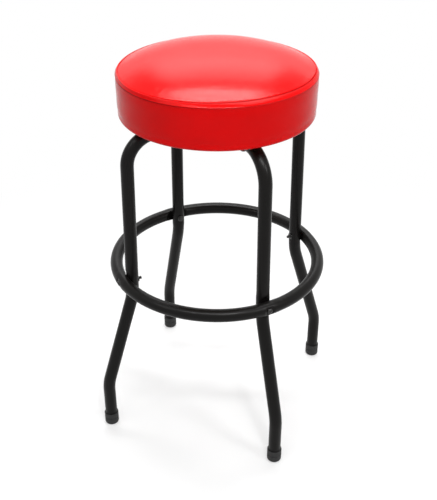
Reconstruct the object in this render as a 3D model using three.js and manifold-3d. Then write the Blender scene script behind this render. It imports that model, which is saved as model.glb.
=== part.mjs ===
// Round padded swivel stool: a vinyl seat on a ball swivel, four bent tube legs and a bolted foot ring.
// Millimetres, +Z up, front towards -Y. The origin is on the floor, under the middle of the seat.
import * as THREE from 'three';
import { mergeVertices } from 'three/addons/utils/BufferGeometryUtils.js';
import Module from 'manifold-3d';

const wasm = await Module();
wasm.setup();

// Clearances: the gap between pieces that touch, and how far a cutting tool runs past what it cuts
const fitGap = 0.3;
const cutOverrun = 2;
const weldDistance = 0.0005;

// Frame tubing
const tubeDiameter = 24;
const tubeWall = 1.5;

// Leg centreline: reach is measured from the middle of the stool, height from the floor
const legInnerReach = 42;
const legRunHeight = 624;
const shoulderReach = 176.6;
const shoulderBend = 54;
const kneeReach = 181.8;
const kneeHeight = 301.7;
const kneeBend = 108;
const footReach = 245;
const ankleHeight = 102.5;
const ankleBend = 98;

// Foot ring, and the flats where ring and leg are squeezed against each other
const ringHeight = 333.8;
const ringNest = 7.2;
const pressMargin = 2;
const pressBlend = 12;
const nutSeatDepth = 1.4;
const headSeatDepth = 2.8;
const boltSeatHalf = 7;
const boltSeatBlend = 9;
const squeezeSpreadShare = 0.06;

// Ring bolts, and the rivet nuts set in the legs for them
const ringBoltDiameter = 6;
const ringBoltLength = 45;
const ringBoltHeadDiameter = 10.5;
const ringBoltHeadHeight = 3.2;
const boltClearance = 0.4;
const rivetNutFlangeDiameter = 13;
const rivetNutFlangeThickness = 1.5;
const rivetNutBodyDiameter = 9;
const rivetNutBodyLength = 12;
const rivetNutGrip = 3.4;
const rivetNutBulge = 0.8;
const rivetNutBulgeLength = 2.5;
const recessWidth = 1.3;
const recessDepth = 1.8;
const recessLengthShare = 0.55;

// Foot caps
const capWall = 1.7;
const capFloor = 4;
const capHeight = 27.5;
const capEdge = 2.2;
const capGrooveHeight = 15.2;
const capGrooveWidth = 1.6;
const capGrooveDepth = 0.7;

// Leg bolts, and the nuts welded on the lower plate
const legBoltDiameter = 6;
const legBoltHeadAcrossFlats = 10;
const legBoltHeadHeight = 4.5;
const legBoltFlangeDiameter = 13;
const legBoltFlangeThickness = 1.4;
const legBoltEndMargin = 18;
const legBoltBendMargin = 24;
const weldNutAcrossFlats = 10;
const weldNutHeight = 4.5;
const threadProud = 1.3;

// Swivel
const plateThickness = 2.5;
const plateCorner = 14;
const lowerPlateMargin = 15;
const upperPlateMargin = 12;
const runningRoom = 1.6;
const raceDepth = 0.6;
const raceMargin = 2.2;
const cageWidth = 14;
const cageThickness = 1.2;
const ballCount = 12;
const rivetDiameter = 12;
const rivetHeadDiameter = 22;
const rivetHeadHeight = 3;
const rivetEdge = 1.5;
const accessHoleDiameter = 12;

// Seat screws
const seatScrewDiameter = 4.8;
const seatScrewLength = 13;
const seatScrewTip = 4;
const seatScrewHeadDiameter = 8;
const seatScrewHeadHeight = 2.4;
const seatScrewEdge = 0.9;

// Seat
const seatRadius = 178;
const seatTaper = 0.7;
const seatRimDrop = 5.8;
const bandHeight = 75.7;
const bandInset = 0.7;
const beadRadius = 2.5;
const beadLift = 2;
const seamWidth = 2.6;
const seamDepth = 1.4;
const crownLift = 0.8;
const crownRise = 32.2;
const crownPower = 2.3;
const coverThickness = 1.5;
const innerEdgeBend = 3.5;
const coverHem = 15;
const boardThickness = 12;
const boardInset = 11.6;
const boardRecessMargin = 3;
const boardRecessRoom = 1;

// Counts that set how finely round shapes are cut
const tubeSides = 12;
const boreSides = 8;
const shoulderSteps = 7;
const kneeSteps = 2;
const ankleSteps = 2;
const ringSegments = 56;
const ringCrowdShare = 0.7;
const seatSegments = 36;
const crownSteps = 6;
const cornerSteps = 3;
const capSides = 16;
const boltSides = 8;
const discSides = 16;
const ballSides = 8;
const ballRows = 5;
const raceSegments = 32;
const hexSides = 6;

// Turns, and the four corners in order from the front right
const fullTurn = 2 * Math.PI;
const halfTurn = Math.PI;
const quarterTurn = Math.PI / 2;
const cornerNames = ['front_right', 'back_right', 'back_left', 'front_left'];
const cornerTurns = cornerNames.map((_, i) => (i - 0.5) * quarterTurn);
const middle = new THREE.Vector2(0, 0);

// Welds a geometry's corners together and drops the triangles that have no area
function welded(geometry) {
  const bare = new THREE.BufferGeometry();
  bare.setAttribute('position', geometry.getAttribute('position'));
  bare.setIndex(geometry.getIndex());
  const merged = mergeVertices(bare, weldDistance);
  const source = merged.getIndex().array;
  const kept = [];
  for (let i = 0; i < source.length; i += 3) {
    const [a, b, c] = source.slice(i, i + 3);
    if (a !== b && b !== c && c !== a) kept.push(a, b, c);
  }
  merged.setIndex(kept);
  return merged;
}

// A closed geometry as a solid that can be cut and joined
function solidOf(geometry) {
  const closed = welded(geometry);
  const vertProperties = new Float32Array(closed.getAttribute('position').array);
  const triVerts = new Uint32Array(closed.getIndex().array);
  return new wasm.Manifold(new wasm.Mesh({ numProp: 3, vertProperties, triVerts }));
}

// A solid's vertices and triangles as a geometry
function geometryOf(solid) {
  const mesh = solid.getMesh();
  const geometry = new THREE.BufferGeometry();
  geometry.setAttribute('position', new THREE.BufferAttribute(mesh.vertProperties, mesh.numProp));
  geometry.setIndex(new THREE.BufferAttribute(mesh.triVerts, 1));
  return geometry;
}

// The first geometry with the others cut from it
function cut(geometry, tools) {
  return geometryOf(tools.reduce((left, tool) => left.subtract(solidOf(tool)), solidOf(geometry)));
}

// The geometries joined into one
function joined(geometries) {
  return geometryOf(geometries.map(solidOf).reduce((sum, next) => sum.add(next)));
}

// Points of a circle, counter-clockwise
function circlePoints(radius, sides, centre = [0, 0], start = 0) {
  return Array.from({ length: sides }, (_, i) => {
    const angle = start + (i * fullTurn) / sides;
    return [centre[0] + radius * Math.cos(angle), centre[1] + radius * Math.sin(angle)];
  });
}

// Points of an arc, with its own radius along each axis
function arcPoints(centre, radii, from, to, steps) {
  return Array.from({ length: steps + 1 }, (_, i) => {
    const angle = from + ((to - from) * i) / steps;
    return [centre[0] + radii[0] * Math.cos(angle), centre[1] + radii[1] * Math.sin(angle)];
  });
}

// The outline of a hexagon by its width across flats
function hexagon(acrossFlats, centre) {
  return circlePoints(acrossFlats / 2 / Math.cos(halfTurn / hexSides), hexSides, centre);
}

// A point at this reach in each corner direction
function cornerPoints(reach) {
  return cornerTurns.map((turn) => [reach * Math.cos(turn), reach * Math.sin(turn)]);
}

function vectors(points) {
  return points.map(([x, y]) => new THREE.Vector2(x, y));
}

// An upright prism over a closed outline, from one height to another
function prism(outline, bottom, top, holes = []) {
  const shape = new THREE.Shape(vectors(outline));
  shape.holes = holes.map((points) => new THREE.Path(vectors(points)));
  const geometry = new THREE.ExtrudeGeometry(shape, { depth: top - bottom, bevelEnabled: false });
  return geometry.translate(0, 0, bottom);
}

// An upright round bar
function bar(radius, bottom, top, sides = boltSides, centre = [0, 0]) {
  return prism(circlePoints(radius, sides, centre), bottom, top);
}

// A piece turned about the z axis: the profile lists radius and height, counter-clockwise
function turned(profile, segments) {
  return new THREE.LatheGeometry(vectors(profile), segments).rotateX(quarterTurn);
}

// An upright piece laid along the reach direction, its top pointing away from the middle
function laid(geometry) {
  return geometry.rotateY(quarterTurn);
}

// A bent tube's centreline: straight runs between corners, each corner rounded by its bend radius
class BentRoute extends THREE.Curve {
  constructor(corners, bends, extraHeights) {
    super();
    const last = corners.length - 1;
    const starting = corners[1].clone().sub(corners[0]).normalize();
    const ending = corners[last].clone().sub(corners[last - 1]).normalize();
    this.stations = [{ point: corners[0], tangent: starting }];
    bends.forEach((bend, i) => this.addBend(corners.slice(i, i + 3), bend));
    this.stations.push({ point: corners[last], tangent: ending });
    extraHeights.forEach((height) => this.addStationAt(height));
  }

  addBend([before, corner, after], { radius, steps }) {
    const arriving = corner.clone().sub(before).normalize();
    const leaving = after.clone().sub(corner).normalize();
    const angle = arriving.angleTo(leaving);
    const start = corner.clone().addScaledVector(arriving, -radius * Math.tan(angle / 2));
    const inward = leaving.clone().addScaledVector(arriving, -leaving.dot(arriving)).normalize();
    const centre = start.clone().addScaledVector(inward, radius);
    for (let i = 0; i <= steps; i += 1) {
      const turn = (angle * i) / steps;
      const point = centre.clone().addScaledVector(inward, -radius * Math.cos(turn));
      point.addScaledVector(arriving, radius * Math.sin(turn));
      const tangent = arriving.clone().multiplyScalar(Math.cos(turn));
      tangent.addScaledVector(inward, Math.sin(turn));
      this.stations.push({ point, tangent });
    }
  }

  // Splits the stretch that passes this height, with the centreline left as it is
  addStationAt(height) {
    const next = this.stations.findIndex(({ point }) => point.z < height - weldDistance);
    const [a, b] = [this.stations[next - 1], this.stations[next]];
    if (a.point.z - height < weldDistance) return;
    const share = (a.point.z - height) / (a.point.z - b.point.z);
    const tangent = a.tangent.clone().lerp(b.tangent, share).normalize();
    this.stations.splice(next, 0, { point: a.point.clone().lerp(b.point, share), tangent });
  }

  get steps() {
    return this.stations.length - 1;
  }

  // How far the centreline is from the middle at this height
  reachAt(height) {
    const next = this.stations.findIndex(({ point }) => point.z <= height);
    const [a, b] = [this.stations[next - 1].point, this.stations[next].point];
    return THREE.MathUtils.mapLinear(height, a.z, b.z, a.x, b.x);
  }

  getUtoTmapping(u) {
    return u;
  }

  getPoint(t) {
    return this.stations[Math.round(t * this.steps)].point.clone();
  }

  getTangent(t) {
    return this.stations[Math.round(t * this.steps)].tangent.clone();
  }
}

// Leg and ring sizes that follow from the tubing and from how deep ring and leg nest
const tubeRadius = tubeDiameter / 2;
const boreRadius = tubeRadius - tubeWall;
const ringFlatHalf = tubeRadius + pressMargin;
const legCorners = [
  new THREE.Vector3(legInnerReach, 0, legRunHeight),
  new THREE.Vector3(shoulderReach, 0, legRunHeight),
  new THREE.Vector3(kneeReach, 0, kneeHeight),
  new THREE.Vector3(footReach, 0, ankleHeight),
  new THREE.Vector3(footReach, 0, capFloor + fitGap),
];
const legBends = [
  { radius: shoulderBend, steps: shoulderSteps },
  { radius: kneeBend, steps: kneeSteps },
  { radius: ankleBend, steps: ankleSteps },
];
const pressOffsets = [ringFlatHalf + pressBlend, ringFlatHalf + pressBlend / 2, ringFlatHalf, boltSeatHalf];
const pressHeights = [...pressOffsets, 0, ...pressOffsets.map((offset) => -offset)]
  .map((offset) => ringHeight + offset);
const legRoute = new BentRoute(legCorners, legBends, pressHeights);
const legReachAtRing = legRoute.reachAt(ringHeight);
const ringRadius = legReachAtRing + tubeDiameter - ringNest;
const legFlatReach = legReachAtRing + tubeRadius - ringNest / 2 - fitGap / 2;
const ringFlatReach = legFlatReach + fitGap;
const nutSeatReach = legReachAtRing - tubeRadius + nutSeatDepth;
const headSeatReach = ringRadius + tubeRadius - headSeatDepth;
const ringHoleRadius = ringBoltDiameter / 2 + boltClearance;
const nutHoleRadius = rivetNutBodyDiameter / 2 + boltClearance;

// Places of the leg bolts along the top run
const shoulderStart = legRoute.stations[1].point.x;
const legBoltReaches = {
  inner: legInnerReach + legBoltEndMargin,
  outer: shoulderStart - legBoltBendMargin,
};
const legBoltSeat = legRunHeight - tubeRadius - fitGap;
const legHoleRadius = legBoltDiameter / 2 + boltClearance;

// The swivel's stack on top of the legs, and the sizes that follow from it
const lowerPlateBottom = legRunHeight + tubeRadius + fitGap;
const lowerPlateTop = lowerPlateBottom + plateThickness;
const weldNutTop = lowerPlateTop + weldNutHeight;
const threadTop = weldNutTop + threadProud;
const upperPlateBottom = threadTop + runningRoom;
const upperPlateTop = upperPlateBottom + plateThickness;
const raceHeight = (lowerPlateTop + upperPlateBottom) / 2;
const ballRadius = raceHeight - lowerPlateTop + raceDepth - fitGap;
const weldNutCorner = weldNutAcrossFlats / 2 / Math.cos(halfTurn / hexSides);
const cageOuterRadius = legBoltReaches.inner - weldNutCorner - raceMargin;
const cageInnerRadius = cageOuterRadius - cageWidth;
const raceRadius = (cageOuterRadius + cageInnerRadius) / 2;
const ballPlaces = circlePoints(raceRadius, ballCount);
const rivetHoleRadius = rivetDiameter / 2 + fitGap;
const screwReach = (legBoltReaches.inner + legBoltReaches.outer) / 2;
const screwHoleRadius = seatScrewDiameter / 2 + fitGap;

// The seat's stack on top of the swivel, and its outline's sizes
const boardBottom = upperPlateTop + fitGap;
const boardTop = boardBottom + boardThickness;
const hemBottom = boardBottom - fitGap - coverThickness;
const seatBottom = boardBottom - seatRimDrop;
const bandRadius = seatRadius - bandInset;
const seatFootRadius = bandRadius - seatTaper;
const boardRadius = seatFootRadius - boardInset;
const edgeBend = innerEdgeBend + coverThickness;
const bandTop = seatBottom + bandHeight;
const beadCentre = [seatRadius - beadRadius, bandTop + beadLift];
const beadStart = -Math.asin(beadLift / beadRadius);
const beadTop = beadCentre[1] + beadRadius;
const seamRadius = beadCentre[0] - beadRadius;
const crownEdge = seamRadius - seamWidth;
const crownTop = beadTop + crownLift + crownRise;

// How far a flat is pressed at a distance from its middle: one on the flat, zero past its blend
function pressShare(distance, flatHalf, blend) {
  return 1 - THREE.MathUtils.smoothstep(Math.abs(distance), flatHalf, flatHalf + blend);
}

// Holds a skin point back to a pressed flat: side is 1 for the outer side and -1 for the inner side
function heldBack(value, skin, flat, share, side) {
  const limit = THREE.MathUtils.lerp(skin, flat, share);
  return side * Math.min(side * value, side * limit);
}

// Squeezes the leg near the ring bolt: a flat for the ring outside and a seat for the nut inside
function pressLeg(geometry) {
  const position = geometry.getAttribute('position');
  for (let i = 0; i < position.count; i += 1) {
    const [x, y, z] = [position.getX(i), position.getY(i), position.getZ(i)];
    const flatShare = pressShare(z - ringHeight, ringFlatHalf, pressBlend);
    if (flatShare > 0) {
      const seatShare = pressShare(z - ringHeight, boltSeatHalf, boltSeatBlend);
      const centre = legRoute.reachAt(z);
      const wall = Math.hypot(x - centre, y) < tubeRadius - tubeWall / 2 ? tubeWall : 0;
      const outer = heldBack(x, centre + tubeRadius - wall, legFlatReach - wall, flatShare, 1);
      const both = heldBack(outer, centre - tubeRadius + wall, nutSeatReach + wall, seatShare, -1);
      position.setXYZ(i, both, y * (1 + squeezeSpreadShare * flatShare), z);
    }
  }
  return geometry;
}

// One leg: a bent, hollow tube, open at both ends, with its bolt holes
function legGeometry() {
  const section = new THREE.Shape(vectors(circlePoints(tubeRadius, tubeSides)));
  section.holes.push(new THREE.Path(vectors(circlePoints(boreRadius, boreSides))));
  const tube = new THREE.ExtrudeGeometry(section, { steps: legRoute.steps, extrudePath: legRoute });
  const ringHoles = [bar(ringHoleRadius, 0, tubeDiameter), bar(nutHoleRadius, -tubeDiameter, 0)];
  ringHoles.forEach((hole) => laid(hole).translate(legReachAtRing, 0, ringHeight));
  const half = tubeRadius + cutOverrun;
  const runHoles = Object.values(legBoltReaches)
    .map((reach) => bar(legHoleRadius, legRunHeight - half, legRunHeight + half, boltSides, [reach, 0]));
  return cut(pressLeg(tube), [...ringHoles, ...runHoles]);
}

// A ring-shaped tube skin about height zero, its segments crowded towards the four legs
function ringSkin(radius, sides) {
  const loop = circlePoints(radius, sides, [ringRadius, 0]);
  const geometry = turned([...loop, loop[0]], ringSegments);
  const position = geometry.getAttribute('position');
  const corners = cornerTurns.length;
  for (let i = 0; i < position.count; i += 1) {
    const point = new THREE.Vector2(position.getX(i), position.getY(i));
    const shift = (ringCrowdShare / corners) * Math.sin(corners * point.angle());
    point.rotateAround(middle, shift);
    position.setXY(i, point.x, point.y);
  }
  return geometry;
}

// Squeezes a ring skin against each leg, and presses a small seat for each bolt head outside
function pressRing(geometry, wall) {
  const position = geometry.getAttribute('position');
  for (let i = 0; i < position.count; i += 1) {
    const point = new THREE.Vector2(position.getX(i), position.getY(i));
    const turn = (Math.floor(point.angle() / quarterTurn) + 0.5) * quarterTurn;
    point.rotateAround(middle, -turn);
    const flatShare = pressShare(point.y, ringFlatHalf, pressBlend);
    if (flatShare > 0) {
      const seatShare = pressShare(point.y, boltSeatHalf, boltSeatBlend);
      const innerSkin = Math.sqrt((ringRadius - tubeRadius) ** 2 - point.y ** 2);
      const outerSkin = Math.sqrt((ringRadius + tubeRadius) ** 2 - point.y ** 2);
      point.x = heldBack(point.x, innerSkin + wall, ringFlatReach + wall, flatShare, -1);
      point.x = heldBack(point.x, outerSkin - wall, headSeatReach - wall, seatShare, 1);
      point.rotateAround(middle, turn);
      const height = position.getZ(i) * (1 + squeezeSpreadShare * flatShare);
      position.setXYZ(i, point.x, point.y, height);
    }
  }
  return geometry;
}

// The foot ring: one hollow ring about height zero, opened by its bolt holes
function ringGeometry() {
  const outer = pressRing(ringSkin(tubeRadius, tubeSides), 0);
  const bore = pressRing(ringSkin(boreRadius, boreSides), tubeWall);
  const holes = cornerTurns.map((turn) => {
    const hole = laid(bar(ringHoleRadius, -tubeDiameter, tubeDiameter));
    return hole.translate(ringRadius, 0, 0).rotateZ(turn);
  });
  return cut(outer, [bore, ...holes]);
}

// The two bars of a cross recess, sunk in a screw head at this height
function crossRecess(headDiameter, height) {
  return [0, quarterTurn].map((turn) => {
    const slot = new THREE.BoxGeometry(headDiameter * recessLengthShare, recessWidth, 2 * recessDepth);
    return slot.translate(0, 0, height).rotateZ(turn);
  });
}

// A round-headed bolt: its head's underside is at height zero and the shank hangs below it
function ringBoltGeometry() {
  const shank = ringBoltDiameter / 2;
  const domeRadii = [ringBoltHeadDiameter / 2, ringBoltHeadHeight];
  const dome = arcPoints([0, 0], domeRadii, 0, quarterTurn, cornerSteps);
  const profile = [[0, -ringBoltLength], [shank, -ringBoltLength], [shank, 0], ...dome];
  return cut(turned(profile, boltSides), crossRecess(ringBoltHeadDiameter, ringBoltHeadHeight));
}

// A rivet nut: its flange hangs below height zero, its body passes up through the leg's wall,
// and the body's bulge grips the wall from inside
function rivetNutGeometry() {
  const [body, bore] = [rivetNutBodyDiameter / 2, ringBoltDiameter / 2 + fitGap];
  const flange = rivetNutFlangeDiameter / 2;
  return turned([
    [bore, -rivetNutFlangeThickness],
    [flange, -rivetNutFlangeThickness],
    [flange, 0],
    [body, 0],
    [body, rivetNutGrip],
    [body + rivetNutBulge, rivetNutGrip],
    [body, rivetNutGrip + rivetNutBulgeLength],
    [body, rivetNutBodyLength],
    [bore, rivetNutBodyLength],
    [bore, -rivetNutFlangeThickness],
  ], boltSides);
}

// A flange-headed hexagon bolt that points up: the flange's upper face is at height zero
function legBoltGeometry() {
  const head = prism(hexagon(legBoltHeadAcrossFlats), -legBoltFlangeThickness - legBoltHeadHeight, 0);
  const flange = bar(legBoltFlangeDiameter / 2, -legBoltFlangeThickness, 0, discSides);
  const shank = bar(legBoltDiameter / 2, -legBoltFlangeThickness, threadTop - legBoltSeat);
  return joined([head, flange, shank]);
}

// A foot cap: a cup with a rounded lower edge and a shallow groove round it
function capGeometry() {
  const innerRadius = tubeRadius + fitGap;
  const outerRadius = innerRadius + capWall;
  const edgeCentre = [outerRadius - capEdge, capEdge];
  return turned([
    [0, 0],
    ...arcPoints(edgeCentre, [capEdge, capEdge], -quarterTurn, 0, cornerSteps),
    [outerRadius, capGrooveHeight],
    [outerRadius - capGrooveDepth, capGrooveHeight + capGrooveWidth / 2],
    [outerRadius, capGrooveHeight + capGrooveWidth],
    [outerRadius, capHeight - capGrooveDepth],
    [outerRadius - capGrooveDepth, capHeight],
    [innerRadius, capHeight],
    [innerRadius, capFloor],
    [0, capFloor],
  ], capSides);
}

// The outline of a square plate whose rounded corners reach this far from its middle
function plateOutline(cornerReach) {
  const eighth = quarterTurn / 2;
  const radii = [plateCorner, plateCorner];
  const centres = cornerPoints(cornerReach - plateCorner);
  return centres.flatMap((centre, i) => {
    const turn = cornerTurns[i];
    return arcPoints(centre, radii, turn - eighth, turn + eighth, cornerSteps);
  });
}

// The track that the balls run in, cut half into each plate
function raceTrack() {
  const loop = circlePoints(ballRadius + fitGap, boltSides, [raceRadius, raceHeight], halfTurn / boltSides);
  return turned([...loop, loop[0]], raceSegments);
}

// The lower swivel plate, with eight welded nuts and a hole for reaching the seat screws
function lowerPlateGeometry() {
  const outline = plateOutline(legBoltReaches.outer + lowerPlateMargin);
  const boltPlaces = Object.values(legBoltReaches).flatMap(cornerPoints);
  const nutOutlines = boltPlaces.map((spot) => hexagon(weldNutAcrossFlats, spot));
  const nuts = nutOutlines.map((nut) => prism(nut, lowerPlateBottom, weldNutTop));
  const [low, high] = [lowerPlateBottom - cutOverrun, weldNutTop + cutOverrun];
  const boltHoles = boltPlaces.map((spot) => bar(legHoleRadius, low, high, boltSides, spot));
  const accessTurn = quarterTurn / 4;
  const accessSpot = [screwReach * Math.cos(accessTurn), screwReach * Math.sin(accessTurn)];
  const accessHole = bar(accessHoleDiameter / 2, low, high, boltSides, accessSpot);
  const rivetHole = bar(rivetHoleRadius, low, high, discSides);
  const plate = joined([prism(outline, lowerPlateBottom, lowerPlateTop), ...nuts]);
  return cut(plate, [...boltHoles, accessHole, rivetHole, raceTrack()]);
}

// The upper swivel plate, with four screw holes
function upperPlateGeometry() {
  const outline = plateOutline(screwReach + upperPlateMargin);
  const [low, high] = [upperPlateBottom - cutOverrun, upperPlateTop + cutOverrun];
  const screwPlaces = cornerPoints(screwReach);
  const screwHoles = screwPlaces.map((spot) => bar(screwHoleRadius, low, high, boltSides, spot));
  const rivetHole = bar(rivetHoleRadius, low, high, discSides);
  return cut(prism(outline, upperPlateBottom, upperPlateTop), [...screwHoles, rivetHole, raceTrack()]);
}

// The pivot rivet: a shank through both plates with a head below and a head above
function rivetGeometry() {
  const [shank, head] = [rivetDiameter / 2, rivetHeadDiameter / 2];
  const lowerFace = lowerPlateBottom - fitGap;
  const upperFace = upperPlateTop + fitGap;
  return turned([
    [0, lowerFace - rivetHeadHeight],
    [head - rivetEdge, lowerFace - rivetHeadHeight],
    [head, lowerFace - rivetHeadHeight + rivetEdge],
    [head, lowerFace],
    [shank, lowerFace],
    [shank, upperFace],
    [head, upperFace],
    [head, upperFace + rivetHeadHeight - rivetEdge],
    [head - rivetEdge, upperFace + rivetHeadHeight],
    [0, upperFace + rivetHeadHeight],
  ], discSides);
}

// The ring that keeps the balls apart, with a pocket for each ball
function cageGeometry() {
  const pockets = ballPlaces.map((spot) => circlePoints(ballRadius + fitGap, boltSides, spot));
  const opening = circlePoints(cageInnerRadius, raceSegments);
  const outline = circlePoints(cageOuterRadius, raceSegments);
  const bottom = raceHeight - cageThickness / 2;
  return prism(outline, bottom, bottom + cageThickness, [opening, ...pockets]);
}

// A pan-head wood screw that points up: its head's upper face is at height zero
function seatScrewGeometry() {
  const [shank, head] = [seatScrewDiameter / 2, seatScrewHeadDiameter / 2];
  const profile = [
    [0, -seatScrewHeadHeight],
    [head - seatScrewEdge, -seatScrewHeadHeight],
    [head, seatScrewEdge - seatScrewHeadHeight],
    [head, 0],
    [shank, 0],
    [shank, seatScrewLength - seatScrewTip],
    [0, seatScrewLength],
  ];
  return cut(turned(profile, boltSides), crossRecess(seatScrewHeadDiameter, -seatScrewHeadHeight));
}

// Points of the crown from its edge to the middle, lowered by the inset
function crownPoints(inset) {
  return Array.from({ length: crownSteps + 1 }, (_, i) => {
    const radius = crownEdge * (1 - i / crownSteps);
    return [radius, crownTop - crownRise * (radius / crownEdge) ** crownPower - inset];
  });
}

// The seat's outline from under its rim to the top of its crown, moved inwards by the inset
function seatOutline(rimRadius, inset) {
  const bend = edgeBend - inset;
  const bendCentre = [seatFootRadius - edgeBend, seatBottom + edgeBend];
  const bead = beadRadius - inset;
  return [
    [rimRadius, hemBottom + inset],
    ...arcPoints(bendCentre, [bend, bend], -quarterTurn, 0, cornerSteps),
    ...arcPoints(beadCentre, [bead, bead], beadStart, quarterTurn, cornerSteps),
    [seamRadius, beadTop - seamDepth - inset],
    ...crownPoints(inset),
  ];
}

// The vinyl cover: a shell over the padding with its hem turned in under the board
function coverGeometry() {
  const hemRadius = boardRadius - coverHem;
  const outside = [[hemRadius, hemBottom], ...seatOutline(boardRadius, 0)];
  const inside = [[hemRadius, hemBottom + coverThickness], ...seatOutline(boardRadius, coverThickness)];
  return turned([...inside.reverse(), ...outside], seatSegments);
}

// The padding: fills the cover and wraps down past the board's edge
function foamGeometry() {
  const pocketRadius = boardRadius + fitGap;
  const pocketTop = boardTop + fitGap;
  const outside = seatOutline(pocketRadius, coverThickness + fitGap);
  return turned([[0, pocketTop], [pocketRadius, pocketTop], ...outside], seatSegments);
}

// The seat board: a disc with screw holes and a recess over the rivet's head
function boardGeometry() {
  const disc = bar(boardRadius, boardBottom, boardTop, seatSegments);
  const recessRadius = rivetHeadDiameter / 2 + boardRecessMargin;
  const recessTop = upperPlateTop + fitGap + rivetHeadHeight + boardRecessRoom;
  const recess = bar(recessRadius, boardBottom - cutOverrun, recessTop, discSides);
  const [low, high] = [boardBottom - cutOverrun, boardTop + cutOverrun];
  const holes = cornerPoints(screwReach).map((spot) => bar(screwHoleRadius, low, high, boltSides, spot));
  return cut(disc, [recess, ...holes]);
}

// Materials
const redVinyl = new THREE.MeshStandardMaterial({ color: 0xd60a12, roughness: 0.32, metalness: 0 });
const blackCoat = new THREE.MeshStandardMaterial({ color: 0x232325, roughness: 0.48, metalness: 0.1 });
const blackRubber = new THREE.MeshStandardMaterial({ color: 0x141414, roughness: 0.75, metalness: 0 });
const blackSteel = new THREE.MeshStandardMaterial({ color: 0x1b1b1d, roughness: 0.4, metalness: 0.6 });
const zincSteel = new THREE.MeshStandardMaterial({ color: 0xb4b6b5, roughness: 0.35, metalness: 0.9 });
const ballSteel = new THREE.MeshStandardMaterial({ color: 0xd4d6d8, roughness: 0.12, metalness: 1 });
const plywood = new THREE.MeshStandardMaterial({ color: 0xc79a62, roughness: 0.8, metalness: 0 });
const foam = new THREE.MeshStandardMaterial({ color: 0xe8dfb8, roughness: 0.95, metalness: 0 });

// A named piece in a group, moved to its place
function place(group, name, geometry, material, position = [0, 0, 0]) {
  const mesh = new THREE.Mesh(welded(geometry), material);
  mesh.name = name;
  mesh.position.set(...position);
  group.add(mesh);
}

function addGroup(parent) {
  const group = new THREE.Group();
  parent.add(group);
  return group;
}

const stool = new THREE.Group();

// The swivelling seat
const seat = addGroup(stool);
place(seat, 'seat_cover', coverGeometry(), redVinyl);
place(seat, 'seat_foam', foamGeometry(), foam);
place(seat, 'seat_board', boardGeometry(), plywood);
place(seat, 'swivel_upper_plate', upperPlateGeometry(), blackSteel);
const screwShape = seatScrewGeometry();
cornerPoints(screwReach).forEach(([x, y], i) => {
  place(seat, `seat_screw_${i + 1}`, screwShape, zincSteel, [x, y, upperPlateBottom - fitGap]);
});

// The bearing between the plates
const bearing = addGroup(stool);
place(bearing, 'bearing_cage', cageGeometry(), zincSteel);
const ballShape = new THREE.SphereGeometry(ballRadius, ballSides, ballRows);
ballPlaces.forEach(([x, y], i) => {
  place(bearing, `bearing_ball_${i + 1}`, ballShape, ballSteel, [x, y, raceHeight]);
});

// The frame
const base = addGroup(stool);
place(base, 'swivel_lower_plate', lowerPlateGeometry(), blackSteel);
place(base, 'swivel_rivet', rivetGeometry(), zincSteel);
place(base, 'foot_ring', ringGeometry(), blackCoat, [0, 0, ringHeight]);

const legShape = legGeometry();
const capShape = capGeometry();
const legBoltShape = legBoltGeometry();
const ringBoltShape = laid(ringBoltGeometry());
const rivetNutShape = laid(rivetNutGeometry());
const headReach = headSeatReach + fitGap;
const nutReach = nutSeatReach - fitGap;

cornerNames.forEach((corner, i) => {
  const quarter = addGroup(base);
  quarter.rotation.z = cornerTurns[i];
  place(quarter, `leg_${corner}`, legShape, blackCoat);
  place(quarter, `foot_cap_${corner}`, capShape, blackRubber, [footReach, 0, 0]);
  Object.entries(legBoltReaches).forEach(([end, reach]) => {
    place(quarter, `leg_bolt_${corner}_${end}`, legBoltShape, blackSteel, [reach, 0, legBoltSeat]);
  });
  place(quarter, `ring_bolt_${corner}`, ringBoltShape, blackSteel, [headReach, 0, ringHeight]);
  place(quarter, `ring_nut_${corner}`, rivetNutShape, blackSteel, [nutReach, 0, ringHeight]);
});

export default stool;
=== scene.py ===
from math import acos, ceil, cos, hypot, pi, radians, sin, tan

import bmesh
import bpy
import numpy as np
from mathutils import Matrix, Quaternion, Vector
from mathutils.bvhtree import BVHTree


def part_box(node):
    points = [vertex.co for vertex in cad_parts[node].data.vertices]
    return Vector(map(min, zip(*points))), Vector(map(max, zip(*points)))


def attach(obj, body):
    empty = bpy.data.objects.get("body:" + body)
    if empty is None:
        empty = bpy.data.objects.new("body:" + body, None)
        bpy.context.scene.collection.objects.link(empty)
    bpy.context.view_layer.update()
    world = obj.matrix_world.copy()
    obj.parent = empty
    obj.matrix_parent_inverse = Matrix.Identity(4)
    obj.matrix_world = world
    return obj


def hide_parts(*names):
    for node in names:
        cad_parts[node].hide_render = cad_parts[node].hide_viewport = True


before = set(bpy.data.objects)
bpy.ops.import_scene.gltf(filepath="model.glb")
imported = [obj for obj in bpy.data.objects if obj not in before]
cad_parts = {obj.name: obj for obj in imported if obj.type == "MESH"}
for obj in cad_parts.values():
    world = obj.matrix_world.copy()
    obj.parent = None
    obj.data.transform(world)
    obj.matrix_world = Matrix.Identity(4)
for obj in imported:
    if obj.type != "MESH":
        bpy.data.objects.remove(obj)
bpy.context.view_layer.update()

# Turns, the four corners in order from the front right, and the leg bolts at each
QUARTER = pi / 2
FULL = 2 * pi
CORNERS = ("front_right", "back_right", "back_left", "front_left")
FIRST_TURN = -QUARTER / 2
CORNER_PLACES = {name: Matrix.Rotation(FIRST_TURN + i * QUARTER, 4, "Z") for i, name in enumerate(CORNERS)}
LEG_BOLTS = [f"{corner}_{end}" for corner in CORNERS for end in ("inner", "outer")]

# Clearance between pieces that touch
FIT_GAP = 0.0003

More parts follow.
